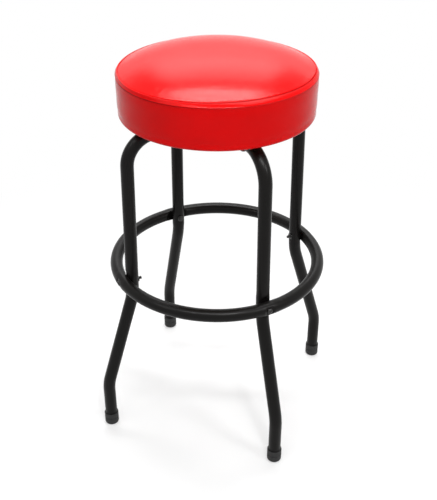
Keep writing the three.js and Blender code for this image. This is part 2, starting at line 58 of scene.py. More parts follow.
# Frame tubing, and the leg's centreline as reach from the middle and height above the floor
TUBE_RADIUS = 0.012
TUBE_WALL = 0.0015
LEG_INNER_REACH = 0.042
LEG_RUN_HEIGHT = 0.624
SHOULDER_REACH = 0.1766
SHOULDER_BEND = 0.054
KNEE_REACH = 0.1818
KNEE_HEIGHT = 0.3017
KNEE_BEND = 0.108
FOOT_REACH = 0.245
ANKLE_HEIGHT = 0.1025
ANKLE_BEND = 0.098

# Foot ring, and the flats where ring and leg are squeezed against each other
RING_NEST = 0.0072
PRESS_MARGIN = 0.002
PRESS_BLEND = 0.012
NUT_SEAT_DEPTH = 0.0014
HEAD_SEAT_DEPTH = 0.0028
BOLT_SEAT_HALF = 0.0052
BOLT_SEAT_BLEND = 0.0062
SQUEEZE_SPREAD = 0.06

# Foot caps
CAP_WALL = 0.0017
CAP_FLOOR = 0.004
CAP_HEIGHT = 0.0275
CAP_EDGE = 0.0055
CAP_LIP = 0.0008
CAP_GROOVE_HEIGHT = 0.016
CAP_GROOVE_HALF = 0.0009
CAP_GROOVE_DEPTH = 0.0011
CAP_TREAD_RADII = (0.004, 0.008)
CAP_TREAD_HALF = 0.0007
CAP_TREAD_DEPTH = 0.0005

# Threaded fasteners
THREAD_RADIUS = 0.003
THREAD_PITCH = 0.001
THREAD_DEPTH = 0.00055
THREAD_RUNOUT = 0.0005
RING_BOLT_LENGTH = 0.045
RING_BOLT_THREAD = 0.016
RING_BOLT_HEAD_RADIUS = 0.00525
RING_BOLT_HEAD_HEIGHT = 0.0032
RING_BOLT_SPINS = (0.55, 1.1, 0.2, 0.9)
RIVET_NUT_FLANGE_RADIUS = 0.0065
RIVET_NUT_FLANGE_THICKNESS = 0.0015
RIVET_NUT_BODY_RADIUS = 0.0045
RIVET_NUT_BODY_LENGTH = 0.012
RIVET_NUT_GRIP = 0.0034
RIVET_NUT_BULGE = 0.0008
RIVET_NUT_BULGE_LENGTH = 0.0025
LEG_BOLT_FLATS = 0.010
LEG_BOLT_MARK_SHARE = 0.38
LEG_BOLT_THREAD = 0.012
LEG_BOLT_HEAD_HEIGHT = 0.0045
LEG_BOLT_FLANGE_RADIUS = 0.0065
LEG_BOLT_FLANGE_THICKNESS = 0.0014
SCREW_RADIUS = 0.0024
SCREW_HEAD_RADIUS = 0.004
SCREW_HEAD_HEIGHT = 0.0024
SCREW_TIP = 0.004
SCREW_PITCH = 0.002
RECESS_WIDTH = 0.0020
RECESS_DEPTH = 0.0020
RECESS_SHARE = 0.62
RECESS_END_SHARES = (0.5, 1.5)
RECESS_TAPER = 0.4
HEX_CHAMFER_SHARE = 1.02
EDGE = 0.0004

# Swivel
PLATE_CORNER = 0.014
WELD_NUT_FLATS = 0.010
WELD_NUT_HEIGHT = 0.0045
ACCESS_RADIUS = 0.006
ACCESS_TURN = QUARTER / 4
RIVET_RADIUS = 0.006
RIVET_HEAD_HEIGHT = 0.003
RIVET_DIMPLE_SHARE = 0.4
CAGE_WIDTH = 0.014
BALL_COUNT = 12
SCREW_COUNT = 4

# Seat
SEAT_TAPER = 0.0007
BAND_INSET = 0.0007
CROWN_EDGE_INSET = 0.0076
CROWN_RISE = 0.0322
CROWN_POWER = 2.3
CROWN_ROLL = 0.0014
SEAM_INSET = 0.0073
SEAM_OVAL = 0.0027
SEAM_OVAL_TURN = radians(-47)
SEAM_HALF = 0.0008
SEAM_DEPTH = 0.0026
SEAM_UNEVEN = 0.45
WELT_BULGE = 0.0002
WELT_FACET = 0.0017
WELT_FACET_FACING = radians(40)
WELT_OVERHANG = 0.0004
WELT_DROP = 0.0380
WELT_DROP_OVAL = 0.0012
WELT_EDGE_RADIUS = 0.0006
WELT_EDGE_TURN = 0.7 * QUARTER
NOTCH_DEPTH = 0.0007
NOTCH_DROP = 0.0012
# Painted shade: how strongly the vinyl is painted darker by distance past the seam (over the crown's roll,
# the seam and the welt's face), and how far painted shade reaches about the notch under the welt; SEAM_MATT
# makes those places rougher
PAINTED_SHADE_PLACES = (-0.0020, -0.0006, 0.0, 0.0016, 0.0026, 0.0046, 0.0066)
PAINTED_SHADE_SHARES = (0.0, 0.35, 1.0, 1.0, 0.4, 0.25, 0.0)
NOTCH_PAINTED_SHADE_HALF = 0.0012
SEAM_MATT = 0.6
BAND_ROLL = 0.0006
INNER_CORNER = (0.005, 0.004)
COVER_THICKNESS = 0.0015
RIM_BEND = 0.005
HEM_WIDTH = 0.015
BOARD_INSET = 0.0116
BOARD_THICKNESS = 0.012
PUCKER_COUNT = 64
PUCKER_SPREAD = 18
PUCKER_HEIGHT = 0.00022
PUCKER_REACH = 0.016
CROWN_UNEVEN = 0.0004
BAND_BULGE = 0.0004
PLEAT_COUNT = 34
PLEAT_HEIGHT = 0.0015
PLEAT_UNEVEN = 0.25
PLEAT_FOLD_SHARE = 0.15
STAPLE_COUNT = 42
STAPLE_WIDTH = 0.0105
STAPLE_WIRE = 0.0006
STAPLE_INSET = 0.006
STAPLE_UNEVEN = 0.15
STAPLE_TILT = 0.16
STAPLE_FLATNESS = 0.6
STAPLE_DROP_SHARE = 0.7

# Cloth simulation of the cover: the skin starts low and narrow and swells under its padding
CLOTH_VOXEL = 0.008
CLOTH_FRAMES = 20
CLOTH_PRESSURE = 10.0
CLOTH_STIFFNESS = 15.0
CLOTH_SURPLUS = 0.006
CLOTH_CROWN_LOSS = 0.004
CLOTH_SHOULDER_LOSS = 0.006
CLOTH_BAND_LOSS = 0.0012
CLOTH_HELD = 0.008
CLOTH_CROWN_ROWS = 28
CLOTH_BAND_ROWS = 12
CLOTH_MOST_MOVE = 0.0015
CLOTH_CURVE_DEGREE = 5
CLOTH_WAVES = 24
CROWN_FADE = 0.10
BAND_FADE = 0.20

# Fineness of round shapes
TUBE_SIDES = 40
BEND_SPACING = 0.0035
STRAIGHT_SPACING = 0.014
PRESS_SPACING = 0.0012
RING_STEP = 0.0035
FASTENER_SIDES = 48
THREAD_STEPS = 6
HOLE_SIDES = 32
CAP_SIDES = 64
CAGE_SIDES = 96
BALL_SIDES = 32
STAPLE_SIDES = 8
PADDING_SIDES = 128
SEAT_COLUMNS = 384
ARC_STEPS = 8
SMALL_ARC_STEPS = 4
ROLL_STEPS = 6
CROWN_STEPS = 48
WELT_STEPS = 9
BAND_STEPS = 25
RIM_STEPS = 10
HEM_STEPS = 8
LINING_STEPS = 39

# Corners closer than this are one, and edges shorter than this are none
WELD_DISTANCE = 1e-6
SLIVER_LENGTH = 1e-7

UP = Vector((0, 0, 1))
random_seat = np.random.default_rng(7)


# Mesh helpers

def even_turns(count):
    return np.arange(count) * FULL / count


def even_shares(steps):
    return np.linspace(0, 1, steps + 1)


def circle(radius, height, sides=FASTENER_SIDES, centre=(0.0, 0.0)):
    """A level ring of points round a centre; radius may be an array with one value per side."""
    angle = even_turns(sides)
    x = centre[0] + radius * np.cos(angle)
    y = centre[1] + radius * np.sin(angle)
    return np.stack([x, y, np.full(sides, height)], axis=1)


def hexagon_radii(across_flats):
    """Distance from the middle to a hexagon's edge, for each of a ring's sides."""
    angle = even_turns(FASTENER_SIDES)
    within = (angle + FULL / 12) % (FULL / 6) - FULL / 12
    return across_flats / 2 / np.cos(within)


def arc(centre, radii, start, end, steps=ARC_STEPS):
    """Points of an arc in the (radius, height) plane; radii is one number or two."""
    wide, tall = np.broadcast_to(radii, 2)
    angles = np.linspace(start, end, steps + 1)
    return [(centre[0] + wide * cos(angle), centre[1] + tall * sin(angle)) for angle in angles]


def stacked(rings, closed=False):
    """Vertices and faces of rings joined one to the next; closed joins the last to the first."""
    rings = np.asarray(rings, float)
    count, sides = rings.shape[:2]
    faces = []
    for i in range(count if closed else count - 1):
        a, b = i * sides, ((i + 1) % count) * sides
        faces += [(a + j, a + (j + 1) % sides, b + (j + 1) % sides, b + j) for j in range(sides)]
    if not closed:
        faces.append(tuple(reversed(range(sides))))
        faces.append(tuple(range((count - 1) * sides, count * sides)))
    return rings.reshape(-1, 3), faces


def circles(profile, sides=FASTENER_SIDES):
    """A level ring for each (radius, height) point of a profile."""
    return [circle(radius, height, sides) for radius, height in profile]


def ring_of(radius, height, angle):
    """A ring of points with its own radius and height at each angle."""
    x, y, z = np.broadcast_arrays(radius * np.cos(angle), radius * np.sin(angle), height)
    return np.stack([x, y, z], axis=1)


def turned(profile, sides=FASTENER_SIDES, closed=False):
    """A profile of (radius, height) points turned about the upright axis."""
    return stacked(circles(profile, sides), closed)


def eased(share):
    """A share between 0 and 1 that starts and ends gently."""
    return share * share * (3 - 2 * share)


def combined(shapes):
    """Several shapes as one list of vertices and one of faces."""
    verts, faces, offset = [], [], 0
    for shape_verts, shape_faces in shapes:
        verts.append(np.asarray(shape_verts, float))
        faces += [tuple(i + offset for i in face) for face in shape_faces]
        offset += len(shape_verts)
    return np.concatenate(verts), faces


def moved(shape, matrix):
    """A shape with its vertices moved by a 4x4 matrix."""
    verts, faces = shape
    turn = np.array(matrix.to_3x3())
    return np.asarray(verts) @ turn.T + np.array(matrix.translation), faces


def mesh_of(name, shape):
    """A clean mesh: corners welded, faces pointing out."""
    verts, faces = shape
    mesh = bpy.data.meshes.new(name)
    mesh.from_pydata([tuple(v) for v in verts], [], faces)
    working = bmesh.new()
    working.from_mesh(mesh)
    bmesh.ops.remove_doubles(working, verts=working.verts, dist=WELD_DISTANCE)
    bmesh.ops.dissolve_degenerate(working, edges=working.edges, dist=SLIVER_LENGTH)
    bmesh.ops.recalc_face_normals(working, faces=working.faces)
    working.to_mesh(mesh)
    working.free()
    return mesh


def object_of(name, shape):
    """An object in the scene, holding the shape where it is."""
    return linked(name, mesh_of(name, shape))


def linked(name, data):
    """An object in the scene that holds a mesh, a lamp or a camera."""
    made = bpy.data.objects.new(name, data)
    bpy.context.scene.collection.objects.link(made)
    return made


def evaluated(made):
    """An object as its modifiers leave it."""
    return made.evaluated_get(bpy.context.evaluated_depsgraph_get())


def apply_modifiers(made):
    """Makes the mesh that an object's modifiers give its own."""
    mesh = bpy.data.meshes.new_from_object(evaluated(made))
    made.modifiers.clear()
    made.data = mesh


def round_places(mesh):
    """Radius, height and turn of each corner of a mesh."""
    x, y, z = np.array([vertex.co for vertex in mesh.vertices]).T
    return np.hypot(x, y), z, np.arctan2(y, x)


def join_shape(target, shape):
    """Adds a shape's mesh to an object's mesh."""
    extra = mesh_of("extra", shape)
    working = bmesh.new()
    working.from_mesh(target.data)
    working.from_mesh(extra)
    working.to_mesh(target.data)
    working.free()
    bpy.data.meshes.remove(extra)


def cut(target, shape):
    """Cuts a shape out of an object's mesh."""
    tool = object_of("cutting_tool", shape)
    modifier = target.modifiers.new("cut", "BOOLEAN")
    modifier.operation = "DIFFERENCE"
    modifier.solver = "EXACT"
    modifier.object = tool
    apply_modifiers(target)
    bpy.data.objects.remove(tool)


def drill(made, radius, low, high, centre):
    """Makes an upright round hole in an object."""
    cut(made, stacked([circle(radius, height, HOLE_SIDES, centre) for height in (low, high)]))


def give_material(made, name):
    made.data.materials.clear()
    made.data.materials.append(MATERIALS[name])


def finished(made, slot, body, nodes=(), sharp=35):
    """Shades an object, gives it its slot's material, hangs it on the body it rides on, and hides the model
    parts it stands for.
    """
    give_material(made, slot)
    made.data.shade_smooth()
    made.data.set_sharp_from_angle(angle=radians(sharp))
    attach(made, body)
    if nodes:
        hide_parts(*nodes)


def node_middle(node):
    low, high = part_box(node)
    return ((low.x + high.x) / 2, (low.y + high.y) / 2)


def laid(reach, height):
    """Lays an upright shape along the reach direction, its top pointing away from the middle."""
    return Matrix.Translation((reach, 0, height)) @ Matrix.Rotation(QUARTER, 4, "Y")


# Materials

def add_node(tree, kind, output, inputs, **settings):
    """Adds a node, sets or links its inputs, and returns one output; a colour is (red, green, blue)."""
    node = tree.nodes.new(kind)
    for key, value in settings.items():
        setattr(node, key, value)
    for key, value in inputs.items():
        if isinstance(value, bpy.types.NodeSocket):
            tree.links.new(value, node.inputs[key])
        else:
            is_colour = node.inputs[key].type == "RGBA"
            node.inputs[key].default_value = (*value, 1.0) if is_colour else value
    return node.outputs[output]


def smooth_range(tree, value, low, high, to_low, to_high):
    """A value mapped smoothly from one range to another."""
    return add_node(tree, "ShaderNodeMapRange", "Result", {
        "Value": value, "From Min": low, "From Max": high, "To Min": to_low, "To Max": to_high},
        interpolation_type="SMOOTHSTEP")


class Recipe:
    """A material with one principled shader and nodes for what varies over the surface."""

    def __init__(self, name, values):
        self.material = bpy.data.materials.new(name)
        self.material.use_nodes = True
        self.tree = self.material.node_tree
        self.shader = self.tree.nodes["Principled BSDF"]
        for socket, value in values.items():
            self.shader.inputs[socket].default_value = value
        self.place = self.add("ShaderNodeTexCoord", "Object", {})

    def add(self, kind, output, inputs, **settings):
        return add_node(self.tree, kind, output, inputs, **settings)

    def stretched(self, scale):
        """Object coordinates scaled along each axis."""
        return self.add("ShaderNodeMapping", "Vector", {"Vector": self.place, "Scale": scale})

    def noise(self, scale, detail=3.0, roughness=0.5, place=None):
        return self.add("ShaderNodeTexNoise", "Fac", {
            "Vector": place or self.place, "Scale": scale, "Detail": detail, "Roughness": roughness})

    def cells(self, scale, feature="F1"):
        inputs = {"Vector": self.place, "Scale": scale}
        return self.add("ShaderNodeTexVoronoi", "Distance", inputs, feature=feature)

    def between(self, value, low, high, to_low=0.0, to_high=1.0):
        return smooth_range(self.tree, value, low, high, to_low, to_high)

    def maths(self, operation, a, b):
        return self.add("ShaderNodeMath", "Value", {0: a, 1: b}, operation=operation)

    def colours(self, share, first, second):
        """A colour mixed from two by a share."""
        return self.add("ShaderNodeMix", 2, {0: share, 6: first, 7: second}, data_type="RGBA")

    def use(self, socket, value):
        self.tree.links.new(value, self.shader.inputs[socket])

    def tint(self, share, first, second):
        self.use("Base Color", self.colours(share, first, second))

    def sheen(self, value, low, high, smooth, rough):
        self.use("Roughness", self.between(value, low, high, smooth, rough))

    def bump(self, height, distance, strength=1.0):
        self.use("Normal", self.add("ShaderNodeBump", "Normal", {
            "Height": height, "Distance": distance, "Strength": strength}))


def vinyl_material():
    """Red upholstery vinyl: satin, with a fine pressed grain, matt in the seams, and painted shade darkening
    the seams, the welt's face and the notch.
    """
    recipe = Recipe("red_vinyl", {"Specular IOR Level": 0.09})
    creases = recipe.between(recipe.cells(950, "DISTANCE_TO_EDGE"), 0.0, 0.16)
    pores = recipe.noise(2600, detail=2.0)
    slow = recipe.noise(14, detail=2.0)
    recipe.bump(recipe.maths("ADD", creases, recipe.maths("MULTIPLY", pores, 0.35)), 0.00003, 0.5)
    dye = recipe.colours(recipe.between(slow, 0.3, 0.7), (0.56, 0.0, 0.0005), (0.62, 0.0003, 0.0010))
    skin = recipe.colours(creases, (0.48, 0.0, 0.0), dye)
    # Painted shade: the dark red below is mixed over the skin by the seam attribute, darkening the seam, the
    # welt's face and the notch
    painted_shade = recipe.add("ShaderNodeAttribute", "Fac", {}, attribute_name="painted_seam_shade")
    recipe.tint(painted_shade, skin, (0.22, 0.0, 0.0006))
    matt = recipe.maths("MULTIPLY", painted_shade, SEAM_MATT)
    recipe.use("Roughness", recipe.maths("ADD", recipe.between(pores, 0.2, 0.8, 0.15, 0.21), matt))
    return recipe.material


def powder_coat_material(name, tone, gloss=0.12):
    """Satin black powder coat: a faint orange peel and small changes of sheen."""
    recipe = Recipe(name, {"Specular IOR Level": gloss})
    peel = recipe.noise(620, detail=2.0)
    speck = recipe.cells(1700)
    recipe.bump(recipe.maths("ADD", peel, recipe.maths("MULTIPLY", speck, 0.3)), 0.00005, 0.6)
    dark, light = (tone * 0.9, tone * 0.8, tone * 0.74), (tone * 1.25, tone * 1.12, tone * 1.04)
    recipe.tint(recipe.between(speck, 0.2, 0.8), dark, light)
    recipe.sheen(recipe.noise(22), 0.3, 0.7, 0.28, 0.35)
    return recipe.material


def rubber_material():
    """Black moulded rubber: matt, with a fine grain and a little dust near the floor."""
    recipe = Recipe("black_rubber", {"Specular IOR Level": 0.3})
    grain = recipe.noise(1500, detail=4.0)
    height = recipe.add("ShaderNodeSeparateXYZ", "Z", {"Vector": recipe.place})
    low = recipe.between(height, 0.0, 0.010, 1.0, 0.0)
    dust = recipe.maths("MULTIPLY", low, recipe.between(recipe.noise(60), 0.35, 0.75))
    recipe.bump(grain, 0.00006, 0.7)
    clean = recipe.colours(recipe.between(grain, 0.3, 0.7), (0.014, 0.014, 0.014), (0.024, 0.024, 0.024))
    recipe.tint(dust, clean, (0.045, 0.043, 0.040))
    recipe.sheen(grain, 0.2, 0.8, 0.55, 0.75)
    return recipe.material


def zinc_material():
    """Zinc-plated steel: clouded, slightly warm, with fine drawing marks."""
    recipe = Recipe("zinc_steel", {"Metallic": 1.0})
    cloud = recipe.noise(120, detail=4.0)
    recipe.bump(recipe.noise(900, place=recipe.stretched((1.0, 1.0, 0.12))), 0.00003, 0.4)
    recipe.tint(recipe.between(cloud, 0.3, 0.7), (0.50, 0.50, 0.49), (0.66, 0.66, 0.64))
    recipe.sheen(cloud, 0.3, 0.7, 0.28, 0.42)
    return recipe.material


def ball_material():
    """Ground bearing steel under a thin film of grease."""
    recipe = Recipe("ball_steel", {"Metallic": 1.0})
    film = recipe.noise(260)
    recipe.bump(film, 0.00001, 0.3)
    recipe.tint(recipe.between(film, 0.3, 0.7), (0.55, 0.53, 0.48), (0.74, 0.74, 0.73))
    recipe.sheen(film, 0.3, 0.8, 0.08, 0.22)
    return recipe.material


def plywood_material():
    """Pale plywood: long grain along X, pores, and plies along its edge."""
    recipe = Recipe("plywood", {"Roughness": 0.72, "Specular IOR Level": 0.35})
    grain = recipe.noise(3.0, detail=6.0, roughness=0.6, place=recipe.stretched((4.0, 60.0, 60.0)))
    pores = recipe.noise(9.0, place=recipe.stretched((8.0, 240.0, 240.0)))
    inputs = {"Vector": recipe.place, "Scale": 130.0}
    plies = recipe.add("ShaderNodeTexWave", "Fac", inputs, bands_direction="Z")
    facing = recipe.add("ShaderNodeNewGeometry", "Normal", {})
    upright = recipe.add("ShaderNodeSeparateXYZ", "Z", {"Vector": facing})
    wood = recipe.colours(recipe.between(grain, 0.35, 0.65), (0.42, 0.25, 0.11), (0.62, 0.42, 0.21))
    wood = recipe.colours(recipe.between(pores, 0.55, 0.75), wood, (0.30, 0.17, 0.07))
    edge = recipe.colours(plies, (0.33, 0.19, 0.09), (0.60, 0.42, 0.23))
    recipe.tint(recipe.maths("ABSOLUTE", upright, 0.0), edge, wood)
    recipe.bump(pores, 0.0002, 0.5)
    return recipe.material


def foam_material():
    """Cream open-cell foam."""
    recipe = Recipe("cream_foam", {"Roughness": 0.95, "Specular IOR Level": 0.1})
    bubbles = recipe.cells(700)
    recipe.bump(bubbles, 0.0004, 0.8)
    recipe.tint(recipe.between(bubbles, 0.1, 0.7), (0.74, 0.66, 0.42), (0.88, 0.82, 0.60))
    return recipe.material


MATERIALS = {
    "vinyl": vinyl_material(),
    "foam": foam_material(),
    "plywood": plywood_material(),
    "frame_coat": powder_coat_material("frame_powder_coat", 0.0045),
    "plate_coat": powder_coat_material("plate_powder_coat", 0.0055),
    "fastener_coat": powder_coat_material("fastener_black", 0.007, gloss=0.5),
    "cap_rubber": rubber_material(),
    "zinc_steel": zinc_material(),
    "ball_steel": ball_material(),
}


# Leg centreline

def bent_route(corners, radii, keep_fine):
    """Stations along straight runs with rounded corners, close together between the heights of keep_fine."""
    corners = [np.array(corner, float) for corner in corners]
    points, tangents = [corners[0]], [unit(corners[1] - corners[0])]
    for before, corner, after, radius in zip(corners, corners[1:], corners[2:], radii):
        arriving, leaving = unit(corner - before), unit(after - corner)
        angle = acos(float(arriving @ leaving))
        start = corner - arriving * radius * tan(angle / 2)
        inward = unit(leaving - arriving * float(leaving @ arriving))
        steps = max(SMALL_ARC_STEPS, round(angle * radius / BEND_SPACING))
        for i in range(steps + 1):
            turn = angle * i / steps
            offset = arriving * sin(turn) + inward * (1 - cos(turn))
            points.append(start + offset * radius)
            tangents.append(arriving * cos(turn) + inward * sin(turn))
    points.append(corners[-1])
    tangents.append(unit(corners[-1] - corners[-2]))
    return filled_in(np.array(points), np.array(tangents), keep_fine)


def unit(vector):
    return vector / np.linalg.norm(vector)


def filled_in(points, tangents, keep_fine):
    """Adds stations on long stretches, close together where the tube is pressed."""
    made_points, made_tangents = [points[0]], [tangents[0]]
    for a, b, ta, tb in zip(points, points[1:], tangents, tangents[1:]):
        near = keep_fine[0] < max(a[1], b[1]) and min(a[1], b[1]) < keep_fine[1]
        spacing = PRESS_SPACING if near else STRAIGHT_SPACING
        steps = max(1, ceil(np.linalg.norm(b - a) / spacing))
        for i in range(1, steps + 1):
            share = i / steps
            made_points.append(a + (b - a) * share)
            made_tangents.append(unit(ta + (tb - ta) * share))
    return np.array(made_points), np.array(made_tangents)


ring_low, ring_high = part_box("foot_ring")
ring_height = (ring_low.z + ring_high.z) / 2
press_reach = TUBE_RADIUS + PRESS_MARGIN + PRESS_BLEND
leg_corners = [
    (LEG_INNER_REACH, LEG_RUN_HEIGHT),
    (SHOULDER_REACH, LEG_RUN_HEIGHT),
    (KNEE_REACH, KNEE_HEIGHT),
    (FOOT_REACH, ANKLE_HEIGHT),
    (FOOT_REACH, CAP_FLOOR + FIT_GAP),
]
route_points, route_tangents = bent_route(
    leg_corners, (SHOULDER_BEND, KNEE_BEND, ANKLE_BEND),
    (ring_height - press_reach, ring_height + press_reach))


def leg_reach_at(height):
    """How far the leg's centreline is from the middle at a height below the shoulder."""
    return np.interp(-np.asarray(height), -route_points[:, 1], route_points[:, 0])


leg_reach = float(leg_reach_at(ring_height))
ring_radius = leg_reach + 2 * TUBE_RADIUS - RING_NEST
leg_flat_reach = leg_reach + TUBE_RADIUS - RING_NEST / 2 - FIT_GAP / 2
ring_flat_reach = leg_flat_reach + FIT_GAP
nut_seat_reach = leg_reach - TUBE_RADIUS + NUT_SEAT_DEPTH
head_seat_reach = ring_radius + TUBE_RADIUS - HEAD_SEAT_DEPTH


def press_share(distance, flat_half, blend):
    """One on a pressed flat, zero past its blend."""
    share = np.clip((flat_half + blend - np.abs(distance)) / blend, 0, 1)
    return eased(share)


def held_back(value, skin, flat, share, side):
    """Holds skin points back to a pressed flat on the outer (1) or inner (-1) side."""
    limit = skin + (flat - skin) * share
    return side * np.minimum(side * value, side * limit)


def pressed_leg(points, wall):
    """Squeezes a leg's skin where it meets the ring."""
    x, y, z = points[..., 0], points[..., 1], points[..., 2]
    flat = press_share(z - ring_height, TUBE_RADIUS + PRESS_MARGIN, PRESS_BLEND)
    seat = press_share(z - ring_height, BOLT_SEAT_HALF, BOLT_SEAT_BLEND)
    centre = leg_reach_at(np.minimum(z, LEG_RUN_HEIGHT - SHOULDER_BEND))
    near = flat > 0
    x_outer = held_back(x, centre + TUBE_RADIUS - wall, leg_flat_reach - wall, flat, 1)
    x_both = held_back(x_outer, centre - TUBE_RADIUS + wall, nut_seat_reach + wall, seat, -1)
    return np.stack([np.where(near, x_both, x), y * (1 + SQUEEZE_SPREAD * flat), z], axis=-1)


def leg_skin(radius, wall):
    """Rings of a leg's skin along its centreline."""
    angle = even_turns(TUBE_SIDES)
    reach, height = route_points[:, :1], route_points[:, 1:]
    normal_reach, normal_height = -route_tangents[:, 1:], route_tangents[:, :1]
    x = reach + radius * np.cos(angle) * normal_reach
    z = height + radius * np.cos(angle) * normal_height
    y = radius * np.sin(angle) * np.ones_like(reach)
    return pressed_leg(np.stack([x, y, z], axis=-1), wall)


def leg_shape():
    """A bent tube, open at both ends."""
    outer = leg_skin(TUBE_RADIUS, 0.0)
    inner = leg_skin(TUBE_RADIUS - TUBE_WALL, TUBE_WALL)
    return stacked(np.concatenate([outer, inner[::-1]]), closed=True)


def ring_angles():
    """Angles round the ring, close together near each leg."""
    fine_half = press_reach / ring_radius
    fine = PRESS_SPACING / ring_radius
    coarse = RING_STEP / ring_radius
    quarter = np.concatenate([
        np.arange(0, fine_half, fine),
        np.linspace(fine_half, QUARTER - fine_half, round((QUARTER - 2 * fine_half) / coarse)),
        QUARTER - np.arange(0, fine_half, fine)[:0:-1],
    ])
    return np.concatenate([FIRST_TURN + i * QUARTER + quarter for i in range(4)])


def ring_shape():
    """The foot ring, squeezed against each leg and dimpled under each bolt head."""
    angles = ring_angles()
    around = even_turns(TUBE_SIDES)
    turn = FIRST_TURN + np.round((angles - FIRST_TURN) / QUARTER) * QUARTER
    local = (angles - turn)[:, None]
    reach = ring_radius + TUBE_RADIUS * np.cos(around)
    x, y = reach * np.cos(local), reach * np.sin(local)
    z = TUBE_RADIUS * np.sin(around) * np.ones_like(local)
    flat = press_share(y, TUBE_RADIUS + PRESS_MARGIN, PRESS_BLEND)
    seat = press_share(y, BOLT_SEAT_HALF, BOLT_SEAT_BLEND)
    inner_skin = np.sqrt((ring_radius - TUBE_RADIUS) ** 2 - y ** 2)
    outer_skin = np.sqrt((ring_radius + TUBE_RADIUS) ** 2 - y ** 2)
    x = np.where(flat > 0, held_back(x, inner_skin, ring_flat_reach, flat, -1), x)
    x = np.where(seat > 0, held_back(x, outer_skin, head_seat_reach, seat, 1), x)
    z = ring_height + z * (1 + SQUEEZE_SPREAD * flat)
    cosine, sine = np.cos(turn)[:, None], np.sin(turn)[:, None]
    return stacked(np.stack([x * cosine - y * sine, x * sine + y * cosine, z], axis=-1), closed=True)


def cap_shape():
    """A rubber cup with a rounded lower edge, a groove round it and two tread rings under it."""
    inner = TUBE_RADIUS + FIT_GAP
    outer = inner + CAP_WALL
    profile = [(0, 0)]
    for tread in CAP_TREAD_RADII:
        profile += [(tread - CAP_TREAD_HALF, 0), (tread - CAP_TREAD_HALF / 2, CAP_TREAD_DEPTH),
                    (tread + CAP_TREAD_HALF / 2, CAP_TREAD_DEPTH), (tread + CAP_TREAD_HALF, 0)]
    profile += arc((outer - CAP_EDGE, CAP_EDGE), CAP_EDGE, -QUARTER, 0)
    profile += arc((outer, CAP_GROOVE_HEIGHT), (CAP_GROOVE_DEPTH, CAP_GROOVE_HALF), -QUARTER, -3 * QUARTER)
    profile += arc((outer - CAP_LIP, CAP_HEIGHT - CAP_LIP), CAP_LIP, 0, QUARTER)
    profile += [(inner, CAP_HEIGHT), (inner, CAP_FLOOR), (0, CAP_FLOOR)]
    return turned(profile, CAP_SIDES)


def make_frame():
    """Legs, ring and caps."""
    leg, cap = leg_shape(), cap_shape()
    for corner in CORNERS:
        turn = CORNER_PLACES[corner]
        tube = object_of(f"{corner}_leg_tube", moved(leg, turn))
        finished(tube, "frame_coat", "base", [f"leg_{corner}"])
        foot = object_of(f"{corner}_rubber_cap", moved(cap, turn @ Matrix.Translation((FOOT_REACH, 0, 0))))
        finished(foot, "cap_rubber", "base", [f"foot_cap_{corner}"])
    finished(object_of("foot_ring_tube", ring_shape()), "frame_coat", "base", ["foot_ring"])


# Fasteners

def thread_rings(radius, low, high, pitch=THREAD_PITCH):
    """Rings of a threaded shank: the radius follows one helix."""
    angle = np.arange(FASTENER_SIDES) / FASTENER_SIDES
    rings = []
    for height in np.arange(low, high, pitch / THREAD_STEPS):
        phase = (height / pitch - angle) % 1
        rings.append(circle(radius - THREAD_DEPTH * np.abs(2 * phase - 1), height))
    return rings


def cut_recess(made, head_radius, top, place):
    """Cuts a cross that narrows downwards into the top of a head; place moves it onto the head."""
    rings = []
    for share, height in zip(RECESS_END_SHARES, (top - RECESS_DEPTH, top + RECESS_DEPTH)):
        x = head_radius * RECESS_SHARE * share
        y = RECESS_WIDTH / 2 * (1 - RECESS_TAPER + RECESS_TAPER * share)
        rings.append([(x, y, height), (-x, y, height), (-x, -y, height), (x, -y, height)])
    for turn in (0, QUARTER):
        cut(made, moved(moved(stacked(rings), Matrix.Rotation(turn, 4, "Z")), place))


def ring_bolt_shape():
    """A round-headed bolt: its head's underside is at height zero and its shank hangs below."""
    end, head = -RING_BOLT_LENGTH, RING_BOLT_HEAD_RADIUS
    thread_end = end + RING_BOLT_THREAD
    rings = circles([(0, end), (THREAD_RADIUS - THREAD_DEPTH, end)])
    rings += thread_rings(THREAD_RADIUS, end + THREAD_DEPTH, thread_end)
    profile = [(THREAD_RADIUS, thread_end + THREAD_RUNOUT), (THREAD_RADIUS, 0)]
    profile += [(head - EDGE, 0), (head, EDGE)]
    profile += arc((0, EDGE), (head, RING_BOLT_HEAD_HEIGHT - EDGE), 0, QUARTER)
    return stacked(rings + circles(profile))


def hex_rings(across_flats, low, high):
    """Rings of a hexagon bar with its corners rounded off at both ends."""
    radii = hexagon_radii(across_flats)
    chamfer = np.minimum(radii, across_flats / 2 * HEX_CHAMFER_SHARE)
    return circles([(chamfer, low), (radii, low + EDGE), (radii, high - EDGE), (chamfer, high)])


def weld_nut_shape():
    """A hexagon nut that rests on height zero."""
    bore, height = THREAD_RADIUS + FIT_GAP, WELD_NUT_HEIGHT
    inner = [(bore + EDGE, height), (bore, height - EDGE), (bore, EDGE), (bore + EDGE, 0)]
    return stacked(hex_rings(WELD_NUT_FLATS, 0, height) + circles(inner), closed=True)


def rivet_nut_shape():
    """A rivet nut: its flange hangs below height zero, its body passes up into the leg."""
    flange, body, bore = RIVET_NUT_FLANGE_RADIUS, RIVET_NUT_BODY_RADIUS, THREAD_RADIUS + FIT_GAP
    bottom, top = -RIVET_NUT_FLANGE_THICKNESS, RIVET_NUT_BODY_LENGTH
    bulge_end = RIVET_NUT_GRIP + RIVET_NUT_BULGE_LENGTH
    profile = [(bore, bottom + EDGE), (bore + EDGE, bottom)]
    profile += arc((flange - EDGE, bottom + EDGE), EDGE, -QUARTER, 0, SMALL_ARC_STEPS)
    profile += [(flange, -EDGE / 2), (flange - EDGE / 2, 0), (body, 0), (body, RIVET_NUT_GRIP)]
    profile += [(body + RIVET_NUT_BULGE, RIVET_NUT_GRIP), (body, bulge_end), (body, top), (bore, top)]
    return turned(profile, closed=True)


